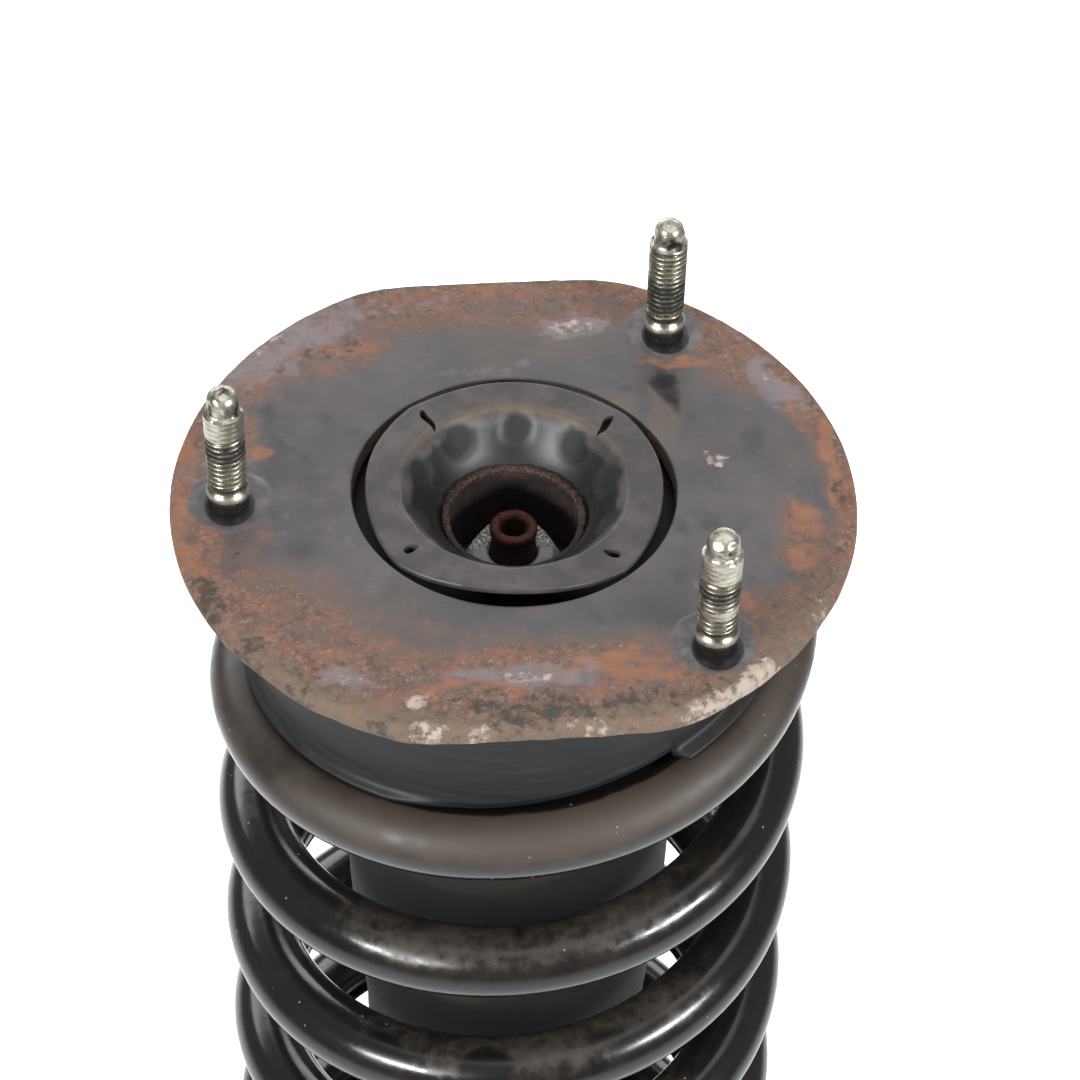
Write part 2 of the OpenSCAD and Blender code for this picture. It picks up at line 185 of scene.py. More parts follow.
@dataclass(frozen=True)
class Finish:
    """A base surface and the layers that lie on it."""

    name: str
    colour: str
    rough: float
    metal: float = 0.0
    ior: float = 1.5
    sheen_left: float = 0.5
    coat: float = 0.0
    coat_rough: float = 0.08
    grain: float = 0.5
    grain_relief: float = 0.0
    layers: tuple[Layer, ...] = ()

    def build(self) -> bpy.types.Material:
        """Make the material.

        Returns:
            The finished material.
        """
        made = bpy.data.materials.new(self.name)
        made.use_nodes = True
        tree = made.node_tree
        shader = tree.nodes["Principled BSDF"]
        shader.inputs["IOR"].default_value = self.ior
        shader.inputs["Specular IOR Level"].default_value = self.sheen_left
        shader.inputs["Coat Weight"].default_value = self.coat
        shader.inputs["Coat Roughness"].default_value = self.coat_rough
        place = add(tree, "ShaderNodeTexCoord").outputs["Object"]
        colour: Any = linear(self.colour)
        values: dict[str, Any] = {"Roughness": self.rough, "Metallic": self.metal}
        height: Any = None
        if self.grain_relief:
            laid = add(tree, "ShaderNodeMapping", {
                "Vector": place, "Scale": (1 / (MM * self.grain),) * 3}).outputs[0]
            fine = add(tree, "ShaderNodeTexNoise", {
                "Vector": laid, "Scale": 1.0, "Detail": 3.0}).outputs[0]
            height = add(tree, "ShaderNodeMath", {0: fine, 1: self.grain_relief},
                         operation="MULTIPLY").outputs[0]
        for layer in self.layers:
            mask = layer.mask(tree, place)
            colour = add(tree, "ShaderNodeMix", {
                0: mask, 6: colour, 7: linear(layer.colour)}, data_type="RGBA").outputs[2]
            for socket, value in (("Roughness", layer.rough), ("Metallic", layer.metal)):
                if value is not None and value != values[socket]:
                    values[socket] = add(tree, "ShaderNodeMix", {
                        0: mask, 2: values[socket], 3: value}).outputs[0]
            if layer.relief:
                lift = add(tree, "ShaderNodeMath", {0: mask, 1: layer.relief},
                           operation="MULTIPLY").outputs[0]
                height = lift if height is None else add(
                    tree, "ShaderNodeMath", {0: height, 1: lift}).outputs[0]
        for socket, value in {"Base Color": colour, **values}.items():
            if isinstance(value, bpy.types.NodeSocket):
                tree.links.new(value, shader.inputs[socket])
            else:
                shader.inputs[socket].default_value = value
        if height is not None:
            bump = add(tree, "ShaderNodeBump", {"Distance": MM, "Height": height})
            tree.links.new(bump.outputs[0], shader.inputs["Normal"])
        return made


# Old chassis paint on pressed steel: dark grey, satin, with red rust that creeps in
# from the rim, grey oxide where the rust has worn off, and pale lifted flakes.
PLATE = Finish(
    "chassis_paint_on_pressed_steel", "#413e40", 0.42, grain=1.2, grain_relief=0.02,
    layers=(
        Layer("#524e4f", Follows.GRAIN, 26, 0.38, 0.66, rough=0.5, most=0.75),
        Layer("#2c2a2c", Follows.GRAIN, 9, 0.50, 0.72, rough=0.34, most=0.6),
        Layer("#544b42", "stain", 10, 0.10, 1.0, rough=0.62, sway=1.8, most=0.6, detail=8),
        Layer("#5d4a42", "rust", 7, 0.05, 0.75, rough=0.8, sway=1.5, relief=0.06, detail=9,
              most=0.92),
        Layer("#755040", "rust", 4.2, 0.40, 1.15, rough=0.85, sway=2.6, relief=0.08, detail=9,
              most=0.75),
        Layer("#8a7468", "rust", 0.9, 0.75, 1.25, rough=0.85, sway=3.0, relief=0.05, detail=4,
              most=0.5),
        Layer("#3d302b", "rust", 1.5, 0.60, 1.15, rough=0.85, sway=2.8, relief=-0.06, detail=7,
              most=0.65),
        Layer("#8a5a3e", "orange", 3.0, 0.25, 1.1, rough=0.85, sway=2.6, relief=0.05, detail=9,
              most=0.68),
        Layer("#6a6266", "oxide", 4.0, 0.20, 0.95, rough=0.45, sway=2.4, detail=8, most=0.75),
        Layer("#625446", "dirt", 2.6, 0.25, 1.0, rough=0.8, sway=2.4, relief=0.12, detail=8,
              most=0.85),
        Layer("#2a2622", "pits", 2.2, 0.55, 1.05, rough=0.6, sway=2.6, relief=-0.15, detail=7,
              most=0.85),
        # painted reflection of the studs' dark feet in the glossy paint, and a dark glossy patch
        # in front of the stud at 52 degrees
        Layer("#0d0c0c", "shade", 2.0, 0.20, 0.70, rough=0.4, sway=0.5, most=0.97),
        Layer("#a3958b", "flakes", 1.9, 0.50, 1.05, rough=0.7, sway=2.6, relief=0.20, detail=7,
              most=0.85),
    ))

# Zinc plate on a rolled M8 thread: bright and warm on the crests, nearly black with
# old grease in the roots, and nearly black below the collar.
STUD = Finish(
    "zinc_plated_rolled_thread", "#858172", 0.26, metal=1.0, grain=0.4, grain_relief=0.01,
    layers=(
        Layer("#6c6a5e", Follows.GRAIN, 2.2, 0.42, 0.66, rough=0.4, metal=0.9),
        Layer("#c9c6ba", "bright", 1.5, 0.30, 1.0, rough=0.34, metal=0.85, sway=1.4, most=0.8,
              detail=7),
        Layer("#191613", "grease_and_dark_foot", 1.3, 0.40, 0.85, rough=0.5, metal=0.3, sway=1.1, detail=6),
    ))

# Dark grey dip coat on pressed steel: satin, with paler dust in soft clouds, darker in
# the dish and its dimples, and tan water marks round the dish's mouth.
DISC = Finish(
    "dip_coated_pressed_steel", "#353231", 0.42, grain=2.5, grain_relief=0.03,
    layers=(
        Layer("#494543", Follows.GRAIN, 7, 0.40, 0.66, rough=0.50, most=0.75),
        Layer("#100f0e", "deep", 4.5, 0.15, 0.95, rough=0.42, sway=2.0, most=0.95),
        Layer("#080707", "dimple", 4, 0.15, 0.80, rough=0.7, sway=0.9, most=0.95),
        Layer("#57493a", "stain", 3.5, 0.35, 1.0, rough=0.6, sway=1.6, most=0.6),
        Layer("#6d6962", Follows.SPOTS, 1.4, 0.86, 0.99, rough=0.6, most=0.3),
    ))

# Bare steel sleeve: dark red-brown rust with tan grains along its lip.
SLEEVE = Finish(
    "rusted_bare_steel", "#140c09", 0.72, grain=0.8, grain_relief=0.08,
    layers=(
        Layer("#24140e", Follows.GRAIN, 2.4, 0.44, 0.62, rough=0.82, relief=0.08),
        Layer("#553629", "lip", 0.8, 0.55, 1.15, rough=0.8, sway=2.6, relief=0.15, most=0.8),
    ))

# Rolled thread of the rod's end, rusted: dark brick red with a browner rim.
ROD_END = Finish(
    "rusted_rod_thread", "#260c07", 0.85, sheen_left=0.4, grain=0.7, grain_relief=0.06,
    layers=(
        Layer("#552412", "lip", 1.2, 0.50, 1.0, rough=0.7, sway=1.6, relief=0.06, most=0.85),
        Layer("#200b08", Follows.GRAIN, 1.6, 0.50, 0.70, rough=0.6),
    ))

# Zinc-flake coat on the rod nut and its washer: pale grey, hardly metallic, with white
# corrosion grains that crust the nut's far side.
NUT = Finish(
    "zinc_flake_coat", "#8d8b8a", 0.45, metal=0.35, grain=0.6, grain_relief=0.02,
    layers=(
        Layer("#6f6d6c", Follows.GRAIN, 3.0, 0.42, 0.66, rough=0.5),
        Layer("#d9d7d3", "crust", 0.55, 0.45, 0.95, rough=0.85, metal=0.0, sway=2.2, relief=0.12,
              detail=3),
        Layer("#2b2623", "crust", 0.7, 0.55, 1.0, rough=0.7, metal=0.0, sway=2.6, relief=-0.08,
              detail=3, most=0.8),
    ))

# Zinc-nickel plate on the nut and washers: pale grey, dull, with white corrosion grains.
ZINC = Finish(
    "dull_zinc_plate", "#9a9a97", 0.42, metal=1.0, grain=0.5, grain_relief=0.02,
    layers=(
        Layer("#6e6d6b", Follows.GRAIN, 3.0, 0.45, 0.65, rough=0.5),
        Layer("#d5d4d0", Follows.SPOTS, 0.9, 0.74, 0.88, rough=0.8, metal=0.2, relief=0.05,
              most=0.8),
    ))

# Natural rubber, moulded: blue-black and satin, with a bloom of grey wax.
RUBBER = Finish(
    "moulded_natural_rubber", "#0d0e10", 0.5, ior=1.52, sheen_left=0.35, grain=0.6,
    grain_relief=0.015,
    layers=(
        Layer("#1c1f22", Follows.GRAIN, 16, 0.40, 0.68, rough=0.55, stretch=(1.0, 1.0, 0.08),
              most=0.8),
        Layer("#2c2a27", Follows.TOPS, 6, 0.55, 1.1, rough=0.75, sway=0.9, most=0.6),
    ))

# Gloss black powder coat on spring wire, under brown road dust on the upper faces,
# with darker wiped blotches, a few chips down to grey, and a painted shadow where the
# upper pad's lip overhangs the top coil's inner top.
SPRING = Finish(
    "black_powder_coat", "#0b0a0a", 0.12, grain=3.0, grain_relief=0.03,
    layers=(
        Layer("#1b1917", Follows.TOPS, 20, -0.1, 0.9, rough=0.17, sway=1.4, most=0.8),
        Layer("#3d342c", "dust", 6, 0.0, 1.25, rough=0.66, sway=0.9, most=0.94, detail=8),
        Layer("#413c36", "grit", 3.0, 0.25, 1.2, rough=0.6, sway=1.7, most=0.6, detail=9),
        # dark wiped blotches, and the painted shadow under the upper pad's lip
        Layer("#0b0b0b", "wiped_and_shade", 6, 0.30, 0.90, rough=0.25, sway=1.2, most=0.9),
        Layer("#8d8a84", Follows.SPOTS, 5.5, 0.945, 0.97, rough=0.6, relief=-0.1, most=0.6),
    ))

# Blow-moulded polyethylene dust tube: nearly black, matt, with brown dust in clouds.
DUST_TUBE = Finish(
    "blow_moulded_polyethylene", "#15120f", 0.55, ior=1.52, sheen_left=0.3, grain=1.5,
    grain_relief=0.02,
    layers=(
        Layer("#231d16", Follows.GRAIN, 30, 0.46, 0.66, rough=0.65, stretch=(1.0, 1.0, 1.6)),
        Layer("#110e0c", Follows.GRAIN, 8, 0.52, 0.74, rough=0.5, most=0.7),
    ))

# Black chassis paint on the damper tube and its welded parts: half gloss, with road
# grit low down and light rust where the weld spatter breaks it.
TUBE_PAINT = Finish(
    "black_chassis_paint", "#141415", 0.34, coat=0.15, grain=1.6, grain_relief=0.02,
    layers=(
        Layer("#2a2724", Follows.GRAIN, 18, 0.44, 0.64, rough=0.48),
        Layer("#4d463d", Follows.TOPS, 7, 0.45, 0.95, rough=0.75, sway=1.0, most=0.8),
        Layer("#5b3322", Follows.GRAIN, 6, 0.64, 0.74, rough=0.8, relief=0.06),
        Layer("#6f4a34", "rust", 2.0, 0.45, 0.70, rough=0.85, sway=1.3, relief=0.08),
    ))

# Hard chrome on a ground rod: mirror bright, with fine grinding lines round it.
CHROME = Finish(
    "hard_chrome", "#c9cacc", 0.12, metal=1.0,
    layers=(Layer("#a9aaad", Follows.GRAIN, 2.0, 0.45, 0.6, rough=0.2, stretch=(4.0, 4.0, 0.08)),))

# Cellular polyurethane: buttery yellow, matt, with fine open pores.
FOAM = Finish(
    "cellular_polyurethane", "#b9a874", 0.85, ior=1.45, grain=0.7, grain_relief=0.08,
    layers=(
        Layer("#8f7f55", Follows.GRAIN, 9, 0.45, 0.65),
        Layer("#5f5337", Follows.SPOTS, 1.1, 0.84, 0.95, relief=-0.12),
    ))

# Nitrile seal rubber: black and smooth.
SEAL = Finish(
    "nitrile_rubber", "#0c0c0c", 0.4, grain=0.8, grain_relief=0.01,
    layers=(Layer("#1c1c1c", Follows.GRAIN, 4, 0.45, 0.6),))

# Turned aluminium: pale, with the fine rings that the tool leaves.
ALLOY = Finish(
    "turned_aluminium", "#b9babc", 0.3, metal=1.0,
    layers=(Layer("#98999b", Follows.GRAIN, 1.6, 0.44, 0.6, rough=0.4, stretch=(6.0, 6.0, 0.15)),))

# Filled PTFE of the piston band: dark green-grey and waxy.
BAND = Finish(
    "filled_ptfe", "#33403d", 0.5, ior=1.35,
    layers=(Layer("#46554f", Follows.GRAIN, 3, 0.45, 0.6, rough=0.6),))

# Sintered bronze of the rod's bush: brown-gold and slightly open.
BRONZE = Finish(
    "sintered_bronze", "#a3784a", 0.4, metal=1.0,
    layers=(Layer("#7b5a36", Follows.SPOTS, 0.8, 0.8, 0.95, rough=0.6, relief=-0.03),))

# Hardened spring steel of the valve shims: blue-grey and polished.
SHIM = Finish(
    "hardened_spring_steel", "#8f949b", 0.2, metal=1.0,
    layers=(Layer("#6d727b", Follows.GRAIN, 5, 0.45, 0.62, rough=0.3),))


class Paints:
    """Builds each finish once and hands it out."""

    def __init__(self) -> None:
        """Start with no finish built."""
        self.built: dict[str, bpy.types.Material] = {}

    def of(self, finish: Finish) -> bpy.types.Material:
        """Give the material of a finish.

        Args:
            finish: The finish that is wanted.

        Returns:
            Its material, built on first use.
        """
        if finish.name not in self.built:
            self.built[finish.name] = finish.build()
        return self.built[finish.name]


# --------------------------------------------------------------------------
# Mesh making


def ease(u: Points | float) -> Points:
    """Smooth step from 0 to 1, held outside that."""
    v = np.clip(u, 0.0, 1.0)
    return v * v * (3 - 2 * v)


def circle(steps: int) -> Points:
    """Angles of even steps round a circle, in radians."""
    return np.linspace(0, 2 * math.pi, steps, endpoint=False)


def clouds(points: Points, size: float, shift: float = 0.0, octaves: int = 3) -> Points:
    """Work out a repeatable noise at each point.

    Args:
        points: Points in millimetres, one row each.
        size: Width of one cloud in millimetres.
        shift: Moves the noise, so that two uses differ.
        octaves: How many finer noises are added.

    Returns:
        One value for each point, mostly from -1 to 1.
    """
    offset = Vector((shift, 1.7 * shift, 0.6 * shift))
    return np.array([noise.fractal(Vector(p) / size + offset, 0.9, 2.1, octaves) for p in points])


def fillet(corners: Sequence[Corner], closed: bool = True, steps: int = 4) -> Points:
    """Round the corners of an outline.

    Args:
        corners: Radius or x, height, and corner radius, one for each corner.
        closed: Whether the last corner joins the first.
        steps: Points along each rounded corner, less one.

    Returns:
        The outline's points, two numbers each.
    """
    out: list[Points] = []
    count = len(corners)
    for i, (x, z, radius) in enumerate(corners):
        here = np.array((x, z))
        if radius <= 0 or (not closed and i in (0, count - 1)):
            out.append(here)
            continue
        before = np.array(corners[i - 1][:2]) - here
        after = np.array(corners[(i + 1) % count][:2]) - here
        back = before * min(radius / np.linalg.norm(before), 0.45)
        on = after * min(radius / np.linalg.norm(after), 0.45)
        for k in range(steps + 1):
            t = k / steps
            out.append(here + back * (1 - t) ** 2 + on * t ** 2)
    return np.array(out)


def finer(outline: Points, gap: float) -> Points:
    """Add points along a closed outline.

    Args:
        outline: The outline's points.
        gap: The furthest that two neighbours may be apart.

    Returns:
        The outline with more points.
    """
    out = []
    for here, there in zip(outline, np.roll(outline, -1, axis=0)):
        parts = max(1, math.ceil(float(np.linalg.norm(there - here)) / gap))
        out += [here + (there - here) * k / parts for k in range(parts)]
    return np.array(out)


@dataclass
class Piece:
    """A mesh in the making, with the covers that its finish reads."""

    name: str
    rows: Points
    ring: bool = True
    capped: bool = False
    covers: dict[str, Points | float] = field(default_factory=dict)

    @property
    def points(self) -> Points:
        """Every point, one row each, in millimetres."""
        return self.rows.reshape(-1, 3)

    def make(self, material: bpy.types.Material, crease: float = 38.0) -> bpy.types.Object:
        """Turn the rows into a mesh object.

        Args:
            material: The finish.
            crease: Edges sharper than this many degrees stay sharp.

        Returns:
            The new object, at the origin.
        """
        count, around = self.rows.shape[:2]
        i, j = np.meshgrid(np.arange(count if self.ring else count - 1), np.arange(around),
                           indexing="ij")
        ni, nj = (i + 1) % count, (j + 1) % around
        faces = np.stack([i * around + j, ni * around + j, ni * around + nj, i * around + nj],
                         -1).reshape(-1, 4).tolist()
        if self.capped:
            faces.append(list(range(around)))
            faces.append([(count - 1) * around + k for k in reversed(range(around))])
        mesh = bpy.data.meshes.new(self.name)
        mesh.from_pydata((self.points * MM).tolist(), [], faces)
        for name, values in self.covers.items():
            layer = mesh.attributes.new(name, "FLOAT", "POINT")
            layer.data.foreach_set("value", np.array(
                np.broadcast_to(np.ravel(values), count * around), np.float32))
        shape = bmesh.new()
        shape.from_mesh(mesh)
        bmesh.ops.remove_doubles(shape, verts=shape.verts, dist=1e-7)
        bmesh.ops.recalc_face_normals(shape, faces=shape.faces)
        shape.to_mesh(mesh)
        shape.free()
        mesh.materials.append(material)
        mesh.shade_smooth()
        mesh.set_sharp_from_angle(angle=math.radians(crease))
        return link(self.name, mesh)


def turned(name: str, outline: Points, steps: int = 180, flat: bool = False) -> Piece:
    """Turn a closed outline of radius and height round the Z axis.

    Args:
        name: The piece's name.
        outline: Radius and height of each point, in millimetres.
        steps: Sections in the full turn.
        flat: Whether the axis lies along Y instead, for the lower eye.

    Returns:
        The piece, not yet a mesh.
    """
    angle = circle(steps)[:, None]
    radius, height = outline[None, :, 0], outline[None, :, 1] + 0 * angle
    x, y = radius * np.cos(angle), radius * np.sin(angle)
    return Piece(name, np.stack([x, height, y] if flat else [x, y, height], -1))


def polar(radius: Points | float, angle: Points, height: Points | float) -> Points:
    """Points at a radius, an angle in radians and a height."""
    x, y, z = np.broadcast_arrays(radius * np.cos(angle), radius * np.sin(angle), height)
    return np.stack([x, y, z], -1)


def cut(piece: bpy.types.Object, tool: bpy.types.Object) -> None:
    """Cut one object from another, and drop the tool.

    Args:
        piece: The object that keeps its other parts.
        tool: The closed shape that is taken away.
    """
    step = piece.modifiers.new("cut", "BOOLEAN")
    step.operation, step.solver, step.object = "DIFFERENCE", "EXACT", tool
    sight = bpy.context.evaluated_depsgraph_get()
    result = bpy.data.meshes.new_from_object(piece.evaluated_get(sight))
    piece.modifiers.clear()
    piece.data = result
    bpy.data.objects.remove(tool)


def link(name: str, data: bpy.types.ID, place: Matrix | None = None) -> bpy.types.Object:
    """Put a mesh, light or camera in the scene.

    Args:
        name: The object's name.
        data: What it shows.
        place: Where it is, or nothing for the origin.

    Returns:
        The new object.
    """
    made = bpy.data.objects.new(name, data)
    if place is not None:
        made.matrix_world = place
    bpy.context.scene.collection.objects.link(made)
    return made


def settle(piece: bpy.types.Object, body: str, slot: str, *nodes: str) -> bpy.types.Object:
    """Join a piece to its body, and hide what it stands for.

    Args:
        piece: The object.
        body: The CAD body that it moves with.
        slot: The record's material slot; not used.
        nodes: The CAD nodes that it replaces.

    Returns:
        The same object.
    """
    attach(piece, body)
    if nodes:
        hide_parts(*nodes)
    LOG.info("%s rides %s with %d faces", piece.name, body, len(piece.data.polygons))
    return piece


def low(node: str) -> float:
    """Lowest height of a CAD node, in millimetres."""
    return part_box(node)[0].z / MM


def high(node: str) -> float:
    """Highest height of a CAD node, in millimetres."""
    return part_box(node)[1].z / MM


# --------------------------------------------------------------------------
# Top mount


@dataclass(frozen=True)
class Spot:
    """An oval area on the plate where one cover is strong."""

    x: float
    y: float
    long: float
    wide: float
    turn: float = 0.0
    most: float = 1.0


# Ovals on the plate where each cover is strong: x, y, half its length and width, its turn
# in degrees, and its strength.
SPOTS: dict[str, tuple[tuple[float, ...], ...]] = {
    "oxide": (
        (-46, 46, 16, 6, 42, 0.9), (-38, 52, 9, 4, 30, 0.7), (-60, 6, 8, 7, 80, 0.6),
        (-36, -50, 4, 2.6, -20, 0.95), (0, -51, 12, 2.4, 3, 0.85), (56, 27, 7, 3.4, -60),
        (16, 49, 5, 3, 0, 0.8), (47, 52, 4, 3, -40, 0.7), (-20, 57, 10, 3, 5, 0.4),
        (30, -42, 4, 3, 0, 0.4), (-2, 36, 9, 1.2, 0, 0.5)),
    "rust": (
        (57, -20, 5, 11, 10, 0.7), (50, -36, 7, 5, 30, 0.6), (-47, -33, 13, 10, -50, 0.62),
        (47, 42, 8, 5, -50, 0.75), (-34, 43, 10, 5, 20, 0.6), (50, 34, 6, 8, 20, 0.7),
        (-10, -48, 30, 4, 2, 0.75), (5, 52, 26, 4, 0, 0.6), (-58, 22, 4, 12, 20, 0.7),
        (-54, -12, 5, 7, 20, 0.4)),
    "orange": (
        (-50.5, 13.5, 1.6, 2.4, 0, 0.9), (-67, 8, 2.4, 16, 0, 0.9), (-65, -18, 2.6, 9, 15, 0.8),
        (12, -49, 10, 1.4, 8, 0.9), (-20, -55, 14, 1.4, 6, 0.9), (66, 6, 1.6, 16, -5, 0.9),
        (57, -12, 2.2, 5, 10, 0.9), (56, -24, 3, 2.4, 0, 0.8), (44, -36, 2, 4, 20, 0.6),
        (36, 58, 7, 1.6, -40, 0.8), (38, 36, 6, 1.6, -10, 0.9), (-44, 55, 16, 1.0, 38, 0.9),
        (-57, 40, 9, 1.2, 52, 0.9), (20, -51, 6, 2, 0, 0.9), (2, 61, 24, 2, 0, 0.6),
        (-32, 44, 7, 1.4, 10, 0.7), (60, 20, 2, 7, 20, 0.7), (-28, -43, 5, 2, -15, 0.5)),
    "stain": (
        (33, 20, 3, 9, -12, 0.9), (8, 44, 20, 6, 0, 0.7), (-20, -38, 4, 2, 20, 0.9),
        (46, 36, 9, 9, 0, 0.8), (-5, -45, 34, 5, 0, 0.8), (44, -40, 10, 9, 0, 0.7),
        (-34, -38, 14, 10, 0, 0.6), (24, 24, 2.4, 2.4, 0, 0.9), (-30, 30, 12, 6, 40, 0.35),
        (50, 6, 10, 12, 0, 0.3)),
    "flakes": (
        (42, -55, 8, 2.4, 32, 1.1), (34, -60, 6, 2.6, 15, 0.9), (-23, -57, 2.6, 1.8, 0, 1.1),
        (-10, -65, 3, 2, 0, 0.75), (12, -65, 5, 1.6, 0, 0.7), (41.5, 5.5, 1.6, 1.2, 0, 0.75),
        (57, 30, 3, 1.6, -60, 0.6), (16, 49, 3.4, 1.6, 0, 0.75), (56, -40, 6, 1.6, 60, 0.6),
        (-22, -64, 3.4, 3, 0, 0.75), (-36, -50.5, 2.4, 1.4, 0, 0.7), (-2, -51, 5, 1.4, 0, 0.65),
        (36, 52, 4, 1.4, -40, 0.6), (-50, 46, 8, 1.4, 42, 0.5)),
    "pits": (
        (-62, -27, 3, 7, 20, 0.9), (-55, -42, 4, 4, 0, 0.8), (0, -60, 14, 4, 0, 0.8),
        (20, -57, 12, 2, 8, 0.7), (-30, -64, 9, 3, 0, 0.7), (66, -6, 2, 5, 0, 0.7),
        (-45, -52, 5, 4, 40, 0.7), (-38, 42, 10, 2, 25, 0.6), (-55, -16, 4, 2, 0, 0.5)),
    # a dark glossy patch in front of the stud at 52 degrees; build adds each stud's painted foot
    # reflection
    "shade": (
        (34.5, 27, 1.9, 6, 10, 0.62),),
}


@dataclass
class MountPlate:
    """Round pressed plate with two flats, a centre hole and pads round the studs."""

    radius: float = 69.6
    flat: float = 65.3
    hole: float = 32.8
    edge: float = 2.6
    stud_circle: float = 57.5
    stud_angles: tuple[float, ...] = (180.0, 52.0, -52.0)
    pad: float = 8.6
    steps: int = 720
    rim_widths: tuple[tuple[float, float], ...] = (
        (0, 6), (25, 9), (50, 11), (70, 13), (90, 12), (112, 16), (135, 15), (160, 11), (180, 9),
        (200, 12), (215, 19), (235, 24), (255, 21), (272, 18), (292, 17), (308, 13), (330, 9),
        (345, 6), (360, 6))

    def outline(self, angle: Points) -> Points:
        """Radius of the plate's edge at each angle, in radians, flats and wear included.

        Args:
            angle: Angles in radians.

        Returns:
            One radius for each angle.
        """
        flat = self.flat / np.maximum(np.abs(np.sin(angle)), 1e-3)
        blunt = 1.3
        smooth = -blunt * np.log(np.exp(-self.radius / blunt) + np.exp(-np.minimum(
            flat, 2 * self.radius) / blunt))
        ring = np.stack([60 * np.cos(angle), 60 * np.sin(angle), 0 * angle], -1)
        worn = np.clip(clouds(ring, 7.0, 3.0, 4), -1, 1)
        front = ease((-np.sin(angle) - 0.3) / 0.5)
        return smooth - 0.25 * (1 - worn) * (0.35 + front)

    def cover(self, name: str, points: Points, warp: Points) -> Points:
        """Strength of one cover at each point.

        Args:
            name: The cover's name.
            points: Points in millimetres.
            warp: Two noises for each point, which bend the ovals' edges.

        Returns:
            One value for each point, from 0 up.
        """
        total = np.zeros(len(points))
        for spot in (Spot(*row) for row in SPOTS[name]):
            a = math.radians(spot.turn)
            dx = points[:, 0] - spot.x + 2.6 * warp[:, 0]
            dy = points[:, 1] - spot.y + 2.6 * warp[:, 1]
            along = (dx * math.cos(a) + dy * math.sin(a)) / spot.long
            across = (dy * math.cos(a) - dx * math.sin(a)) / spot.wide
            total = np.maximum(total, spot.most * ease(1.45 - 0.75 * np.hypot(along, across)))
        return total

    def build(self, paints: Paints) -> None:
        """Make the plate.

        Args:
            paints: The finishes.
        """
        bottom, top = low("mount_plate"), high("mount_plate")
        angle = circle(self.steps)
        edge = self.outline(angle)
        # radius and height of each row: out over the face, down round the rim, back under
        # the plate and up the hole's lip
        spread = edge - self.edge - self.hole
        reach = spread + self.edge - 1
        face = [(self.hole + u * spread, top) for u in np.linspace(0.012, 1, 74)]
        roll = [(edge - self.edge * (1 - math.cos(a)), top - self.edge * (1 - math.sin(a)))
                for a in np.linspace(1.4, 0, 9)]
        under = [(edge - drop, bottom + z) for drop, z in (
            (0.02, 1.2), (0.06, 1.0), (0.14, 0.75), (0.28, 0.45), (0.5, 0.2), (0.9, 0.0))]
        back = [(self.hole + u * reach, bottom) for u in np.linspace(0.98, 0.0, 24)]
        lip = [(self.hole + u * reach, z) for u, z in (
            (0.0, bottom + 0.8), (0.0, top - 1.4), (0.0, top - 0.5), (0.005, top - 0.12))]
        rows = np.stack([polar(r, angle, z) for r, z in face + roll + under + back + lip], 1)
        piece = Piece("mount_plate_pressing", rows)
        points = piece.points
        warp = np.stack([clouds(points, 9, shift) for shift in (1, 5)], -1)
        turn = np.degrees(np.arctan2(points[:, 1], points[:, 0])) % 360
        radius = np.hypot(points[:, 0], points[:, 1])
        limit = np.repeat(edge, rows.shape[1])
        widths = np.interp(turn, *zip(*self.rim_widths))
        inward = np.maximum(limit - radius, 0)
        below = ease((top - 0.6 - points[:, 2]) / 1.2)
        rust = np.clip(0.92 - 0.55 * (inward / widths) ** 1.6 + 0.20 * warp[:, 0], 0, 1)
        rust = np.where(inward > 1.9 * widths, 0, rust)
        rust = np.maximum(rust, self.cover("rust", points, warp))
        rust = np.maximum(rust, 0.9 * below)
        orange = np.maximum(self.cover("orange", points, warp), 0.42 * rust)
        sides = np.cos(np.radians(turn)) ** 2
        orange = np.maximum(orange, 0.62 * ease(1 - inward / 4.5) * sides)
        front = ease((-np.sin(np.radians(turn)) - 0.25) / 0.5)
        dirt = np.maximum(ease(1.2 - inward / 9) * (0.35 + 0.6 * front), 0.55 * below)
        pits = np.maximum(self.cover("pits", points, warp), 0.38 * front * ease(1.4 - inward / 7))
        keep = np.ones(len(points))
        lift = np.zeros(len(points))
        foot = np.zeros(len(points))
        for degrees in self.stud_angles:
            a = math.radians(degrees)
            away = np.hypot(points[:, 0] - self.stud_circle * math.cos(a),
                            points[:, 1] - self.stud_circle * math.sin(a))
            keep *= ease((away - self.pad + 1.5) / 2.2)
            lift += 0.35 * (1 - ease((away - self.pad + 0.6) / 1.2))
            # painted reflection of each stud's dark foot in the glossy paint, a little further out
            # towards -Y
            near = np.hypot(points[:, 0] - self.stud_circle * math.cos(a) - 0.2,
                            (points[:, 1] - self.stud_circle * math.sin(a) + 1.6) * 0.86)
            foot = np.maximum(foot, 1 - ease((near - 4.4) / 1.2))
        lumps = clouds(points, 2.6, 9, 4)
        crust = clouds(points, 1.1, 4, 3)
        on_face = ease((points[:, 2] - bottom - 1.6) / 2.0)
        lift *= on_face
        lift += on_face * rust * (0.10 * lumps + 0.05 * crust)
        lift += on_face * front * ease(1.3 - inward / 8) * (0.28 * lumps + 0.12 * crust)
        flakes = self.cover("flakes", points, warp)
        lift += on_face * 0.35 * flakes * np.maximum(crust, 0)
        lift += 0.10 * clouds(points, 30, 2, 1) * on_face
        points[:, 2] += lift
        piece.covers = {
            "rust": rust * keep, "orange": orange * keep, "dirt": dirt * keep,
            "pits": pits * keep, "flakes": flakes * keep,
            "shade": np.maximum(foot, self.cover("shade", points, warp)),
            "oxide": self.cover("oxide", points, warp) * keep + 0.45 * (1 - keep),
            "stain": self.cover("stain", points, warp) * keep}
        settle(piece.make(paints.of(PLATE), 60), "top_mount", "plate_steel", "mount_plate")


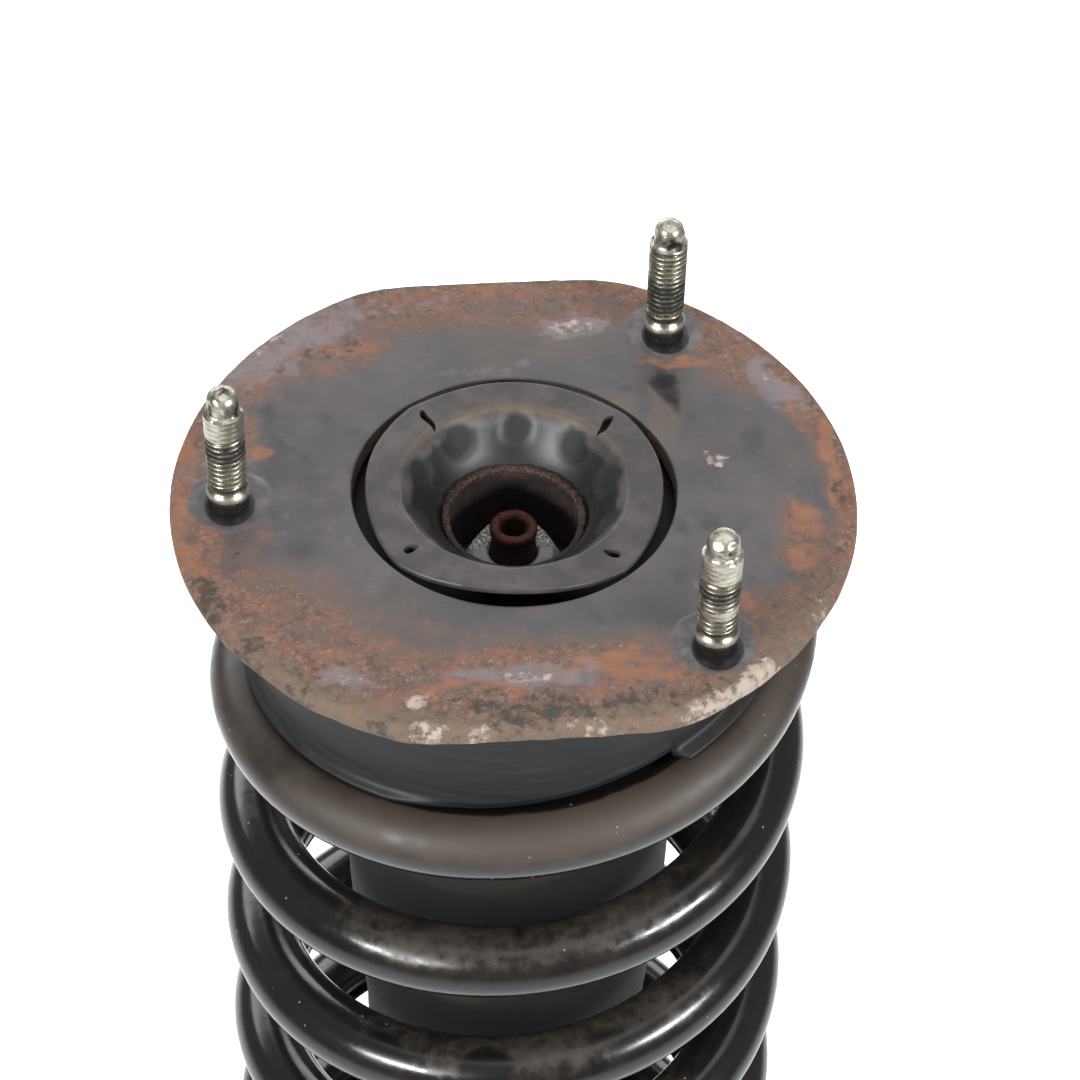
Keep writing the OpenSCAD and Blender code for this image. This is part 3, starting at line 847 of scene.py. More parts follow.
@dataclass
class MountStuds:
    """Three pressed-in M8 studs with a bright flared collar on a dark foot."""

    circle: float = 57.5
    angles: tuple[float, ...] = (180.0, 52.0, -52.0)
    names: tuple[str, ...] = ("single", "left", "right")
    # heights between which the thread is worn smooth and bright
    plain: tuple[tuple[tuple[float, float], ...], ...] = (
        ((18.5, 25.2),), ((24.0, 25.5),), ((18.8, 25.4), (9.6, 13.2)))
    # heights between which the thread is black with grease
    black: tuple[tuple[float, float], ...] = ((13.0, 18.4), (7.0, 16.5), (13.8, 18.4))
    major: float = 4.0
    pitch: float = 1.25
    depth: float = 0.62
    tip: float = 5.4
    around: int = 60

    def profile(self, height: float) -> tuple[Points, Points]:
        """Outline of the stud, and depth of its thread up its height.

        Args:
            height: Height of the stud above the plate.

        Returns:
            Rows of radius and height, and the thread's share at each row.
        """
        start = height - self.tip
        foot = fillet([(5.95, -5.4, 0), (5.95, -4.0, 0.3), (4.6, -3.9, 0.2), (4.6, -0.3, 0.2),
                       (4.15, 0.2, 0.2), (4.15, 1.9, 0.4), (4.5, 3.0, 0.6), (4.4, 4.1, 0.7),
                       (3.55, 5.2, 0.5), (3.6, 6.0, 0.4), (4.0, 6.5, 0)], closed=False)
        thread = [(self.major, z) for z in np.arange(6.65, start - 0.2, 0.125)]
        tip = fillet([
            (4.0, start - 0.15, 0.1), (3.42, start + 0.35, 0.2), (3.15, start + 0.9, 0.3),
            (3.3, start + 1.8, 0.4), (3.28, start + 3.3, 0.6), (2.5, height - 0.5, 0.9),
            (1.0, height - 0.02, 0.5), (0.02, height, 0)], closed=False)
        rows = np.array([*foot, *thread, *tip])
        share = ease((rows[:, 1] - 6.2) / 1.0) * ease((start - rows[:, 1] + 0.2) / 0.9)
        return rows, share

    def build(self, paints: Paints) -> None:
        """Make the three studs, the first of which stands for the CAD node.

        Args:
            paints: The finishes.
        """
        top, height = high("mount_plate"), high("mount_studs") - high("mount_plate")
        start = height - self.tip
        turn = circle(self.around)
        for index, (degrees, name) in enumerate(zip(self.angles, self.names)):
            rows, share = self.profile(height)
            z = rows[:, 1][:, None] + 0 * turn[None]
            worn = np.ones_like(z)
            for bottom, upper in self.plain[index]:
                worn -= 0.88 * ease((z - bottom) / 1.0) * ease((upper - z) / 1.0)
            phase = (z / self.pitch - turn[None] / (2 * math.pi) + 0.31 * index) % 1
            groove = 0.5 - 0.5 * np.cos(2 * math.pi * phase)
            cutting = self.depth * share[:, None] * worn * groove ** 1.3
            radius = rows[:, 0][:, None] - cutting
            a = math.radians(degrees)
            x = self.circle * math.cos(a) + radius * np.cos(turn[None])
            y = self.circle * math.sin(a) + radius * np.sin(turn[None])
            grid = np.stack([x, y, z + top], -1)
            flat = grid.reshape(-1, 3)
            dents = clouds(flat, 2.4, 7 + index, 3).reshape(z.shape)
            patches = clouds(flat, 3.1, 17 + 5 * index, 3).reshape(z.shape)
            on_tip = ease((z - start + 0.2) / 0.5)
            shrink = -(0.06 + 0.42 * np.maximum(dents, 0)) * on_tip
            grid[..., 0] += shrink * np.cos(turn[None])
            grid[..., 1] += shrink * np.sin(turn[None])
            first, last = self.black[index]
            band = ease((z - first) / 1.5) * ease((last - z) / 1.5)
            grease_and_dark_foot = share[:, None] * worn * (0.30 + 0.42 * groove + 0.35 * band)
            neck = ease(1.2 - np.abs(z - start - 0.8) / 1.3)
            grease_and_dark_foot = np.maximum(grease_and_dark_foot, neck * (0.55 + 0.9 * patches))
            grease_and_dark_foot = np.maximum(grease_and_dark_foot, on_tip * (0.28 + 1.2 * np.maximum(patches, 0)))
            # nearly black below the collar, down to the plate
            grease_and_dark_foot = np.maximum(grease_and_dark_foot, 1.25 * ease((2.6 - z) / 0.8))
            grease_and_dark_foot = np.maximum(grease_and_dark_foot, 0.85 * ease(1 - np.abs(z - 5.8) / 1.0))
            bright = 0.95 * (1 - worn) + 0.9 * ease(1.1 - np.abs(z - 3.9) / 1.3)
            bright = np.maximum(bright, 0.75 * on_tip * ease(0.9 - 1.2 * patches))
            bright = np.maximum(bright, 0.55 * (1 - band) * (1 - groove) * share[:, None])
            piece = Piece(f"mount_stud_{name}", grid, ring=False, capped=True,
                          covers={"grease_and_dark_foot": grease_and_dark_foot, "bright": bright})
            made = piece.make(paints.of(STUD), 50)
            settle(made, "top_mount", "stud_steel", *(["mount_studs"] if index == 0 else []))


@dataclass
class MountBody:
    """Housing, bonded rubber and upper spring seat under the plate."""

    housing: float = 39.2
    sheet: float = 2.6
    floor: float = 27.0
    seat_inner: float = 40.1
    seat_outer: float = 42.3
    flange: float = 50.5
    sleeve: float = 14.7

    def build(self, paints: Paints) -> None:
        """Make the housing, the seat and the rubber.

        Args:
            paints: The finishes.
        """
        bottom, top = low("mount_housing"), high("mount_housing")
        bore = self.housing - self.sheet
        outline = fillet([(self.floor, bottom, 0.8), (self.housing, bottom, 3.0),
                          (self.housing, top, 0), (bore, top, 0), (bore, bottom + self.sheet, 1.6),
                          (self.floor, bottom + self.sheet, 0.8)])
        cup = turned("mount_housing_cup", outline)
        cup.covers["rust"] = 0.35
        settle(cup.make(paints.of(TUBE_PAINT)), "top_mount", "plate_steel", "mount_housing")
        seat_low, seat_high = low("upper_spring_seat"), high("upper_spring_seat")
        lower = seat_high - 2.5
        outline = fillet([
            (self.seat_inner, seat_low, 0.4), (self.seat_outer, seat_low, 0.8),
            (self.seat_outer, lower, 1.5), (self.flange, lower, 0.6),
            (self.flange, seat_high, 0.6), (self.seat_inner, seat_high, 1.0)])
        seat = turned("upper_spring_seat_pressing", outline)
        seat.covers["rust"] = 0.3
        settle(seat.make(paints.of(TUBE_PAINT)), "top_mount", "plate_steel", "upper_spring_seat")
        bottom, top = low("mount_rubber"), high("mount_rubber")
        sleeve = self.sleeve
        outline = fillet([
            (sleeve, bottom + 3.5, 0), (sleeve + 5, bottom + 4.5, 1.5), (27, bottom + 4, 1.5),
            (30, bottom, 1.0), (bore, bottom, 0), (bore, top - 2, 0.6), (bore - 5, top, 2.0),
            (25.3, top - 0.5, 2.0), (sleeve + 5, top - 3.5, 1.5), (sleeve, top - 4, 0)])
        rubber = turned("mount_rubber_ring", outline)
        settle(rubber.make(paints.of(RUBBER)), "top_mount", "rubber", "mount_rubber")


@dataclass
class RetainerDisc:
    """Four-cornered disc with a dimpled dish and a slot at each corner."""

    half: float = 30.1
    side: float = 37.3
    corner: float = 31.9
    mouth: float = 23.3
    inner: float = 14.75
    sheet: float = 1.7
    dimples: int = 10
    dimple: float = 3.8
    dimple_ring: float = 20.4
    turn: float = -6.0
    # azimuth, distance from the axis, length, width and lean of each slot
    slots: tuple[tuple[float, ...], ...] = (
        (45.5, 26.0, 6.8, 1.7, 17.0), (134.5, 26.0, 7.0, 1.5, -18.0),
        (223.0, 27.3, 3.2, 2.1, -30.0), (317.0, 27.0, 3.6, 1.9, 10.0))
    steps: int = 360

    def outline(self, angle: Points) -> Points:
        """Radius of the disc's edge at each angle, in radians.

        Args:
            angle: Angles in radians.

        Returns:
            One radius for each angle.
        """
        off = (angle - math.radians(self.turn) + math.pi / 4) % (math.pi / 2) - math.pi / 4
        shift = self.half - self.side
        arc = shift * np.cos(off) + np.sqrt(self.side ** 2 - (shift * np.sin(off)) ** 2)
        blunt, base = 0.12, 30
        near = np.exp(-(arc - base) / blunt) + np.exp(-(self.corner - base) / blunt)
        return base - blunt * np.log(near)

    def surface(self, radius: Points, angle: Points) -> Points:
        """Height of the disc's top face above the plate.

        Args:
            radius: Distance from the axis.
            angle: Angle in radians.

        Returns:
            The height in millimetres, below zero inside the dish.
        """
        corner = 0.5 - 0.5 * np.cos(4 * (angle - math.radians(self.turn)))
        rim = 1.0 + (radius - self.mouth) / 7 * (0.75 - 1.15 * corner)
        fall = np.clip((self.mouth - radius) / (self.mouth - self.inner), 0, 1)
        bowl = 1.0 - 9.6 * (0.55 * fall + 0.45 * ease(fall))
        blend = ease((self.mouth + 0.8 - radius) / 1.6)
        return rim * (1 - blend) + bowl * blend - 0.7 * self.press(radius, angle)

    def press(self, radius: Points, angle: Points) -> Points:
        """Share of a dimple's depth at each point.

        Args:
            radius: Distance from the axis.
            angle: Angle in radians.

        Returns:
            0 outside the dimples, 1 at their middles.
        """
        gap = 2 * math.pi / self.dimples
        side = ((angle - math.pi / 2 - math.radians(self.turn) + gap / 2) % gap - gap / 2) * radius
        return ease(1.25 - np.hypot(side, (radius - self.dimple_ring) * 1.4) / self.dimple)

    def build(self, paints: Paints) -> None:
        """Make the disc and cut its slots.

        Args:
            paints: The finishes.
        """
        top = high("mount_plate")
        angle = circle(self.steps)[:, None]
        edge = self.outline(angle)
        inner = np.linspace(self.inner, self.mouth + 1, 34)[None] + 0 * angle
        share = np.linspace(0, 1, 12)[None]
        outer = (self.mouth + 1.3) + (edge - 0.5 - self.mouth - 1.3) * share
        upper = np.concatenate([inner, outer], 1)
        height = self.surface(upper, angle)
        side_r = np.concatenate([edge - 0.15, edge, edge, edge - 0.3], 1)
        rim = self.surface(edge, angle)
        side_z = np.concatenate([rim - 0.12, rim - 0.45, rim - 1.2, rim - 1.6], 1)
        lower = upper[:, ::-1]
        r = np.concatenate([upper, side_r, lower], 1)
        z = np.concatenate([height, side_z, height[:, ::-1] - self.sheet * 0.95], 1)
        piece = Piece("retainer_disc_pressing", polar(r, angle, z + top))
        points = piece.points
        away = np.abs(np.hypot(points[:, 0], points[:, 1]) - self.mouth)
        back = 0.4 + 0.6 * ease(np.sin(np.arctan2(points[:, 1], points[:, 0])) * 1.4)
        piece.covers["stain"] = ease(1.2 - away / 1.6) * back
        piece.covers["deep"] = ease((top - 0.4 - points[:, 2]) / 2.0)
        piece.covers["dimple"] = self.press(r, angle)
        made = piece.make(paints.of(DISC), 50)
        for azimuth, spot, length, width, lean in self.slots:
            a = math.radians(azimuth + self.turn)
            b = a + math.radians(lean)
            bow = circle(20)
            along = length / 2 * np.cos(bow)
            across = width / 2 * np.sin(bow) * (1 + 0.35 * np.cos(bow)) + 0.25 * np.sin(along)
            x = spot * math.cos(a) + along * math.cos(b) - across * math.sin(b)
            y = spot * math.sin(a) + along * math.sin(b) + across * math.cos(b)
            levels = [np.stack([x, y, 0 * x + top + h], -1) for h in (-9, 5)]
            tool = Piece("slot_tool", np.array(levels), ring=False, capped=True)
            cut(made, tool.make(paints.of(DISC)))
        made.data.shade_smooth()
        made.data.set_sharp_from_angle(angle=math.radians(50))
        settle(made, "damper_rod", "coated_disc", "retainer_disc")


@dataclass
class RodFixing:
    """Centre sleeve, washer, nut and the rod itself."""

    sleeve: float = 14.7
    wall: float = 1.5
    nut_width: float = 17.0
    thread: float = 5.0
    rod: float = 7.0
    key: float = 2.75
    turn: float = -6.0

    def centre_sleeve(self, paints: Paints) -> None:
        """Make the sleeve, with a rusted lip.

        Args:
            paints: The finishes.
        """
        bottom, top = low("centre_sleeve"), high("centre_sleeve")
        bore, hole = self.sleeve - self.wall, self.thread + 0.05
        outline = finer(fillet([
            (hole, bottom, 0.2), (self.sleeve, bottom, 0.6), (self.sleeve, top, 0.5),
            (bore, top, 0.5), (bore, bottom + 3, 1.2), (hole, bottom + 3, 0.2)]), 0.8)
        piece = turned("centre_sleeve_tube", outline, 220)
        points = piece.points
        near = ease((points[:, 2] - top + 2.4) / 1.8)
        rough = clouds(points, 1.3, 2, 3) * near
        radius = np.hypot(points[:, 0], points[:, 1])
        inside = points[:, 2] > bottom + 4
        scale = 1 + np.where(inside, 0.22 * rough, 0) / radius
        points[:, :2] *= scale[:, None]
        front = ease((-points[:, 1] / np.maximum(radius, 1) + 0.1) / 0.8)
        points[:, 2] += np.where(inside, 0.18 * rough, 0) - (0.1 + 1.3 * front) * near
        piece.covers["lip"] = near * (0.85 - 0.6 * front)
        settle(piece.make(paints.of(SLEEVE), 50), "damper_rod", "rusted_steel", "centre_sleeve")

    def nut(self, paints: Paints) -> None:
        """Make the washer and the chamfered hexagon nut.

        Args:
            paints: The finishes.
        """
        bottom, top = low("rod_washer"), high("rod_washer")
        ring = turned("rod_washer_plate", fillet([
            (self.thread + 0.05, bottom, 0.2), (11.5, bottom, 0.4), (11.5, top, 0.5),
            (self.thread + 0.05, top, 0.2)]))
        ring.covers["crust"] = 0.1
        settle(ring.make(paints.of(NUT)), "damper_rod", "zinc_steel", "rod_washer")
        bottom, top = low("rod_nut"), high("rod_nut")
        angle = circle(180)[:, None]
        off = (angle + math.pi / 6) % (math.pi / 3) - math.pi / 6
        hexagon = self.nut_width / 2 / np.cos(off)
        tall = top - bottom
        levels = tall - np.array([6.0, 5.9, 5.7, 5.4, 5.0, 3.0, 1.1, 0.6, 0.3, 0.12, 0])[None]
        cone = self.nut_width / 2 * 0.97 + 1.7 * np.minimum(levels, tall - levels) + 0 * angle
        side = np.minimum(hexagon, cone)
        bore = 0 * angle + self.thread + 0.05
        r = np.concatenate([side, 0.5 * side[:, -1:] + 0.5 * bore, bore + 0.45, bore, bore], 1)
        flat = tall + 0 * angle
        z = np.concatenate([levels + 0 * angle, flat, flat, flat - 0.4, 0 * angle], 1)
        # the hexagon's corners stand where the CAD has them, one near -X
        corner = angle + math.pi / 6 + math.radians(self.turn)
        nut = Piece("rod_nut_hexagon", polar(r, corner, bottom + z))
        nut.covers["crust"] = 0.1 + 0.75 * ease(nut.points[:, 1] / 6 + 0.35)
        settle(nut.make(paints.of(NUT), 30), "damper_rod", "zinc_steel", "rod_nut")

    def piston_rod(self, paints: Paints) -> None:
        """Make the chromed rod and its rusted, threaded upper end.

        Args:
            paints: The finishes.
        """
        bottom, top = low("piston_rod"), high("piston_rod")
        shoulder = low("bump_stop_cup") + 9.0
        step = high("upper_valve_shims")
        shaft = turned("piston_rod_shaft", fillet([
            (0.001, bottom, 0), (self.thread, bottom, 0.6), (self.thread, step, 0),
            (self.rod, step, 0.4), (self.rod, shoulder, 0.6), (self.thread - 0.4, shoulder, 0),
            (0.001, shoulder, 0)]), 96)
        settle(shaft.make(paints.of(CHROME)), "damper_rod", "rod_steel")
        outline = finer(fillet([
            (0.001, shoulder, 0), (self.thread, shoulder, 0), (self.thread - 0.45, top - 3.4, 0.6),
            (self.thread - 0.5, top - 2.4, 0.6), (self.thread, top - 1.7, 0.7),
            (self.thread - 0.1, top - 0.5, 0.8), (self.thread - 0.9, top, 0.6),
            (self.key + 0.5, top - 0.15, 0.4), (self.key, top - 0.9, 0.4),
            (self.key, top - 9, 0.3), (0.001, top - 9.4, 0)]), 0.5)
        piece = turned("piston_rod_end", outline, 120)
        points = piece.points
        near = ease((points[:, 2] - top + 2.6) / 1.6)
        rough = clouds(points, 1.2, 6, 3)
        radius = np.maximum(np.hypot(points[:, 0], points[:, 1]), 0.5)
        worn = np.abs(rough) * near
        points[:, :2] *= (1 - 0.10 * worn / radius)[:, None]
        points[:, 2] -= 0.12 * worn
        piece.covers["lip"] = near * 0.8
        settle(piece.make(paints.of(ROD_END), 50), "damper_rod", "rod_steel", "piston_rod")

    def build(self, paints: Paints) -> None:
        """Make every part of the fixing.

        Args:
            paints: The finishes.
        """
        self.centre_sleeve(paints)
        self.nut(paints)
        self.piston_rod(paints)


# --------------------------------------------------------------------------
# Spring and pads


@dataclass
class SpringPath:
    """Centre line of the spring wire, the same as the CAD's."""

    turns: float = 6.9
    pitch: float = 38.4
    end_pitch: float = 2.0
    blend: float = 0.45
    flat_low: float = 0.3
    flat_top: float = 0.08
    tip: float = 174.0
    coil: float = 56.5
    wire: float = 7.5

    def rise(self, turn: Points) -> Points:
        """Height of the wire's centre above its start, after that many turns.

        Args:
            turn: Turns from the lower end.

        Returns:
            One height for each turn.
        """
        late = self.turns - self.flat_top - self.blend

        def climb(u: Points) -> Points:
            """Running total of a smooth step."""
            held = np.clip(u, 0, 1)
            return held ** 3 - held ** 4 / 2 + np.maximum(u - 1, 0)

        steady = climb((turn - self.flat_low) / self.blend) - climb((turn - late) / self.blend)
        return self.end_pitch * turn + (self.pitch - self.end_pitch) * self.blend * steady

    def centre(self, turn: Points) -> Points:
        """Height of the wire's centre in the frame."""
        return low("coil_spring") + self.wire + self.rise(turn)

    def angle(self, turn: Points) -> Points:
        """Angle of the wire's centre in radians."""
        return np.radians(self.tip - 360 * (self.turns - turn))

    def keep(self) -> float:
        """Share of its length that the spring keeps at full stroke."""
        length = high("coil_spring") - low("coil_spring")
        stroke = max(abs(v) for j in frame["joints"] if j["name"] == "damper_stroke"
                     for v in j["range_m"]) / MM
        return (length - stroke) / length


@dataclass
class CoilSpring:
    """Round wire spring with ground ends, dusty on top, wiped in places, with painted shade under
    the pad.
    """

    path: SpringPath
    per_turn: int = 110
    sides: int = 36
    round_end: float = 1.2
    # turn, degrees up round the wire, and radius in mm of the wiped black spots
    wiped_and_shade: tuple[tuple[float, float, float], ...] = (
        (4.079, 62, 4.6), (4.142, 58, 5.6), (4.95, 70, 3.0), (5.30, 64, 3.6), (3.20, 60, 4.0))

    def build(self, paints: Paints) -> None:
        """Make the spring.

        Args:
            paints: The finishes.
        """
        count = int(self.path.turns * self.per_turn)
        end = self.round_end / (2 * math.pi * self.path.coil)
        turn = np.linspace(end, self.path.turns - end, count)
        caps = np.array([0.0, 0.25, 0.6])
        turn = np.concatenate([end * caps, turn, self.path.turns - end * caps[::-1]])
        inset = np.concatenate([[self.round_end, 0.45, 0.12], np.zeros(count),
                                [0.12, 0.45, self.round_end]])
        bow = circle(self.sides)[None]
        radius = (self.path.wire - inset)[:, None]
        r = self.path.coil + radius * np.cos(bow)
        z = self.path.centre(turn)[:, None] + radius * np.sin(bow)
        a = self.path.angle(turn)[:, None]
        piece = Piece("coil_spring_wire", polar(r, a, z), ring=False, capped=True)
        up = np.sin(bow) + 0 * a
        t = turn[:, None] + 0 * bow
        front = ease((-np.sin(a) + 0.25) / 0.7) + 0 * bow
        middle = ease((-np.sin(a) - 0.62) / 0.34) + 0 * bow
        top_coil = ease((t - 5.62) / 0.25)
        dust = ease((up + 0.25) / 0.7) * (
            0.06 + 0.22 * middle + 0.8 * top_coil * (0.45 + 0.55 * front))
        grit = ease((up - 0.3) / 0.6) * (0.12 + 0.60 * middle) * (1 - top_coil)
        points = piece.points
        patch = clouds(points, 24, 11, 2).reshape(t.shape)
        wiped_and_shade = ease((clouds(points, 13, 21, 2).reshape(t.shape) - 0.18) / 0.3) * ease(
            (up - 0.1) / 0.4) * (1 - top_coil) * 0.7
        for spot, rise, size in self.wiped_and_shade:
            along = (t - spot) * 2 * math.pi * self.path.coil
            across = (bow - math.radians(rise)) * self.path.wire
            wiped_and_shade = np.maximum(wiped_and_shade, 1.3 * ease(1.4 - np.hypot(along, across) / size))
        # painted shadow: the upper pad's lip overhangs the top coil, so the wire's inner top is
        # painted dark there
        wiped_and_shade = np.maximum(wiped_and_shade, top_coil * ease((np.cos(bow) * -1 + 0.02) / 0.12) * (up > -0.2))
        piece.covers = {"dust": dust * (1 + 0.35 * patch), "grit": grit * (1 + 0.5 * patch),
                        "wiped_and_shade": wiped_and_shade}
        made = piece.make(paints.of(SPRING), 60)
        settle(made, "damper_rod", "spring_paint", "coil_spring")
        self.path.keep()
        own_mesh(made)


@dataclass
class SpringPads:
    """Rubber pads over and under the spring's ends."""

    path: SpringPath
    wall: float = 54.0
    inner: float = 42.6
    skirt: float = 47.6
    lip: float = 58.2
    gap: float = 0.45
    steps: int = 400

    def swept(self, name: str, sections: list[Points], angle: Points,
              paints: Paints) -> bpy.types.Object:
        """Make a pad from its cross-sections.

        Args:
            name: The pad's name.
            sections: Radius and height of each section's points.
            angle: Angle of each section in radians.
            paints: The finishes.

        Returns:
            The pad, in rubber.
        """
        flat = np.array(sections)
        grid = polar(flat[..., 0], angle[:, None], flat[..., 1])
        return Piece(name, grid, ring=False, capped=True).make(paints.of(RUBBER), 48)

    def upper(self, paints: Paints) -> None:
        """Make the upper pad, whose lip lifts off the wire before its step.

        Args:
            paints: The finishes.
        """
        top = high("upper_spring_pad")
        share = np.linspace(0, 1, self.steps)
        turn = self.path.turns - 1 + 0.004 + 0.992 * share
        wire = self.path.centre(turn)
        a = self.path.angle(turn)
        degrees = np.degrees(a) % 360
        open_gap = 2.4 * np.clip((degrees - 258) / 43, 0, 1) * (degrees < 301.5) * (degrees > 200)
        tongue = ease((degrees - 302) / 1.0) * ease((345 - degrees) / 10) * (degrees > 200)
        foot = wire + self.path.wire + self.gap + open_gap
        rows = []
        for i in range(self.steps):
            lip = self.wall + (self.lip - self.wall) * (
                0.55 if degrees[i] < 240 else max(0.2, 0.55 - (degrees[i] - 240) / 40))
            lip = max(lip, self.wall + 3.6 * tongue[i])
            z0, centre = foot[i], wire[i]
            step = max(top - z0 - 3.4, 1.0)
            ribs = [(self.wall - 0.22 * (k % 2) + 0.6 * (1 - k / 12), z0 + 3.0 + step * k / 12,
                     0.0) for k in range(13)]
            rows.append(fillet([
                (self.inner, top, 0), (self.inner, centre - 1, 0.6),
                (self.skirt, centre - 1, 0.6), (self.skirt, z0 - open_gap[i], 0.8),
                (self.skirt + 1.5, z0, 0.8), (lip - 0.7, z0, 0.4), (lip, z0 + 0.5, 0.4),
                (lip, z0 + 1.3, 0.4), (self.wall + 1.0, z0 + 2.1, 0.8), *ribs,
                (self.wall - 0.6, top - 0.15, 0), (self.wall - 1.4, top, 0)], steps=3))
        made = self.swept("upper_spring_pad_moulding", rows, a, paints)
        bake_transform(made)
        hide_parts("upper_spring_pad")
        LOG.info("%s bends between top_mount and damper_rod", made.name)

    def lower(self, paints: Paints) -> None:
        """Make the lower pad, with a stop against the wire's end.

        Args:
            paints: The finishes.
        """
        bottom = low("lower_spring_pad")
        first, last, outer = self.path.coil - 10.5, 0.984, self.path.coil + 7.0
        share = np.linspace(0.004, last, 260)
        # the ramp under the wire leaves it room to come down at full stroke
        rise = self.path.keep() * self.path.rise(share)
        top = np.minimum(low("coil_spring") + rise - 0.4, bottom + 12.0)
        stop = ease((share - 0.945) / 0.01)
        top = top * (1 - stop) + stop * (self.path.centre(np.array([0.0]))[0] + 2.1)
        a = self.path.angle(share)
        rows = [fillet([(first, bottom, 0.4), (outer, bottom, 0.4), (outer, t, 1.0),
                        (self.path.coil + 3, t - 0.25, 1.0), (self.path.coil - 3, t - 0.25, 1.0),
                        (first, t, 1.0)], steps=3) for t in top]
        made = self.swept("lower_spring_pad_moulding", rows, a, paints)
        settle(made, "damper_body", "rubber", "lower_spring_pad")

    def build(self, paints: Paints) -> None:
        """Make both pads.

        Args:
            paints: The finishes.
        """
        self.upper(paints)
        self.lower(paints)


# --------------------------------------------------------------------------
# Damper


@dataclass
class DustGuard:
    """Cup, bump stop and dust tube round the rod."""

    cup: float = 24.5
    tube: float = 36.4
    tube_low: float = 32.4
    wall: float = 1.8
    taper: float = 46.0

    def build(self, paints: Paints) -> None:
        """Make the cup, the stop and the tube.

        Args:
            paints: The finishes.
        """
        bottom, top = low("bump_stop_cup"), high("bump_stop_cup")
        cup = turned("bump_stop_cup_pressing", fillet([
            (5.05, top - 2, 0.2), (self.cup - 2, top - 2, 1.6), (self.cup - 2, bottom, 0.3),
            (self.cup + 1.1, bottom, 0.3), (self.cup + 1.1, bottom + 1.1, 0.3),
            (self.cup, bottom + 1.1, 0.4), (self.cup, top, 2.4), (5.05, top, 0.2)]))
        settle(cup.make(paints.of(ZINC)), "damper_rod", "zinc_steel", "bump_stop_cup")
        bottom, top = low("bump_stop"), high("bump_stop")
        length = top - bottom
        waist = [(21.0, top, 0.5), (21.0, top - 0.18 * length, 4), (17.0, top - 0.26 * length, 3),
                 (19.8, top - 0.45 * length, 4), (15.8, top - 0.53 * length, 3),
                 (18.6, top - 0.72 * length, 4), (14.6, top - 0.80 * length, 3), (13.0, bottom, 2)]
        outline = fillet([(7.6, top, 0.2), *waist, (7.6, bottom, 0.8)], steps=6)
        stop = turned("bump_stop_foam", outline, 120)
        made = settle(stop.make(paints.of(FOAM), 60), "damper_rod", "foam", "bump_stop")
        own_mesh(made)
        bottom, top = low("dust_tube"), high("dust_tube")
        knee, shoulder = bottom + 6, bottom + 6 + self.taper
        tube = turned("dust_tube_moulding", finer(fillet([
            (self.cup + 0.05, top, 0.2), (self.tube - 1, top, 1.4), (self.tube, top - 2.5, 1.0),
            (self.tube - 0.6, shoulder, 12), (self.tube_low, knee, 3),
            (self.tube_low, bottom, 0.5), (self.tube_low - self.wall, bottom, 0.5),
            (self.tube_low - self.wall, knee, 3), (self.tube - 0.6 - self.wall, shoulder, 12),
            (self.tube - self.wall, top - self.wall, 1.0),
            (self.cup + 0.05, top - self.wall, 0.2)]), 4))
        settle(tube.make(paints.of(DUST_TUBE), 50), "damper_rod", "dust_plastic", "dust_tube")


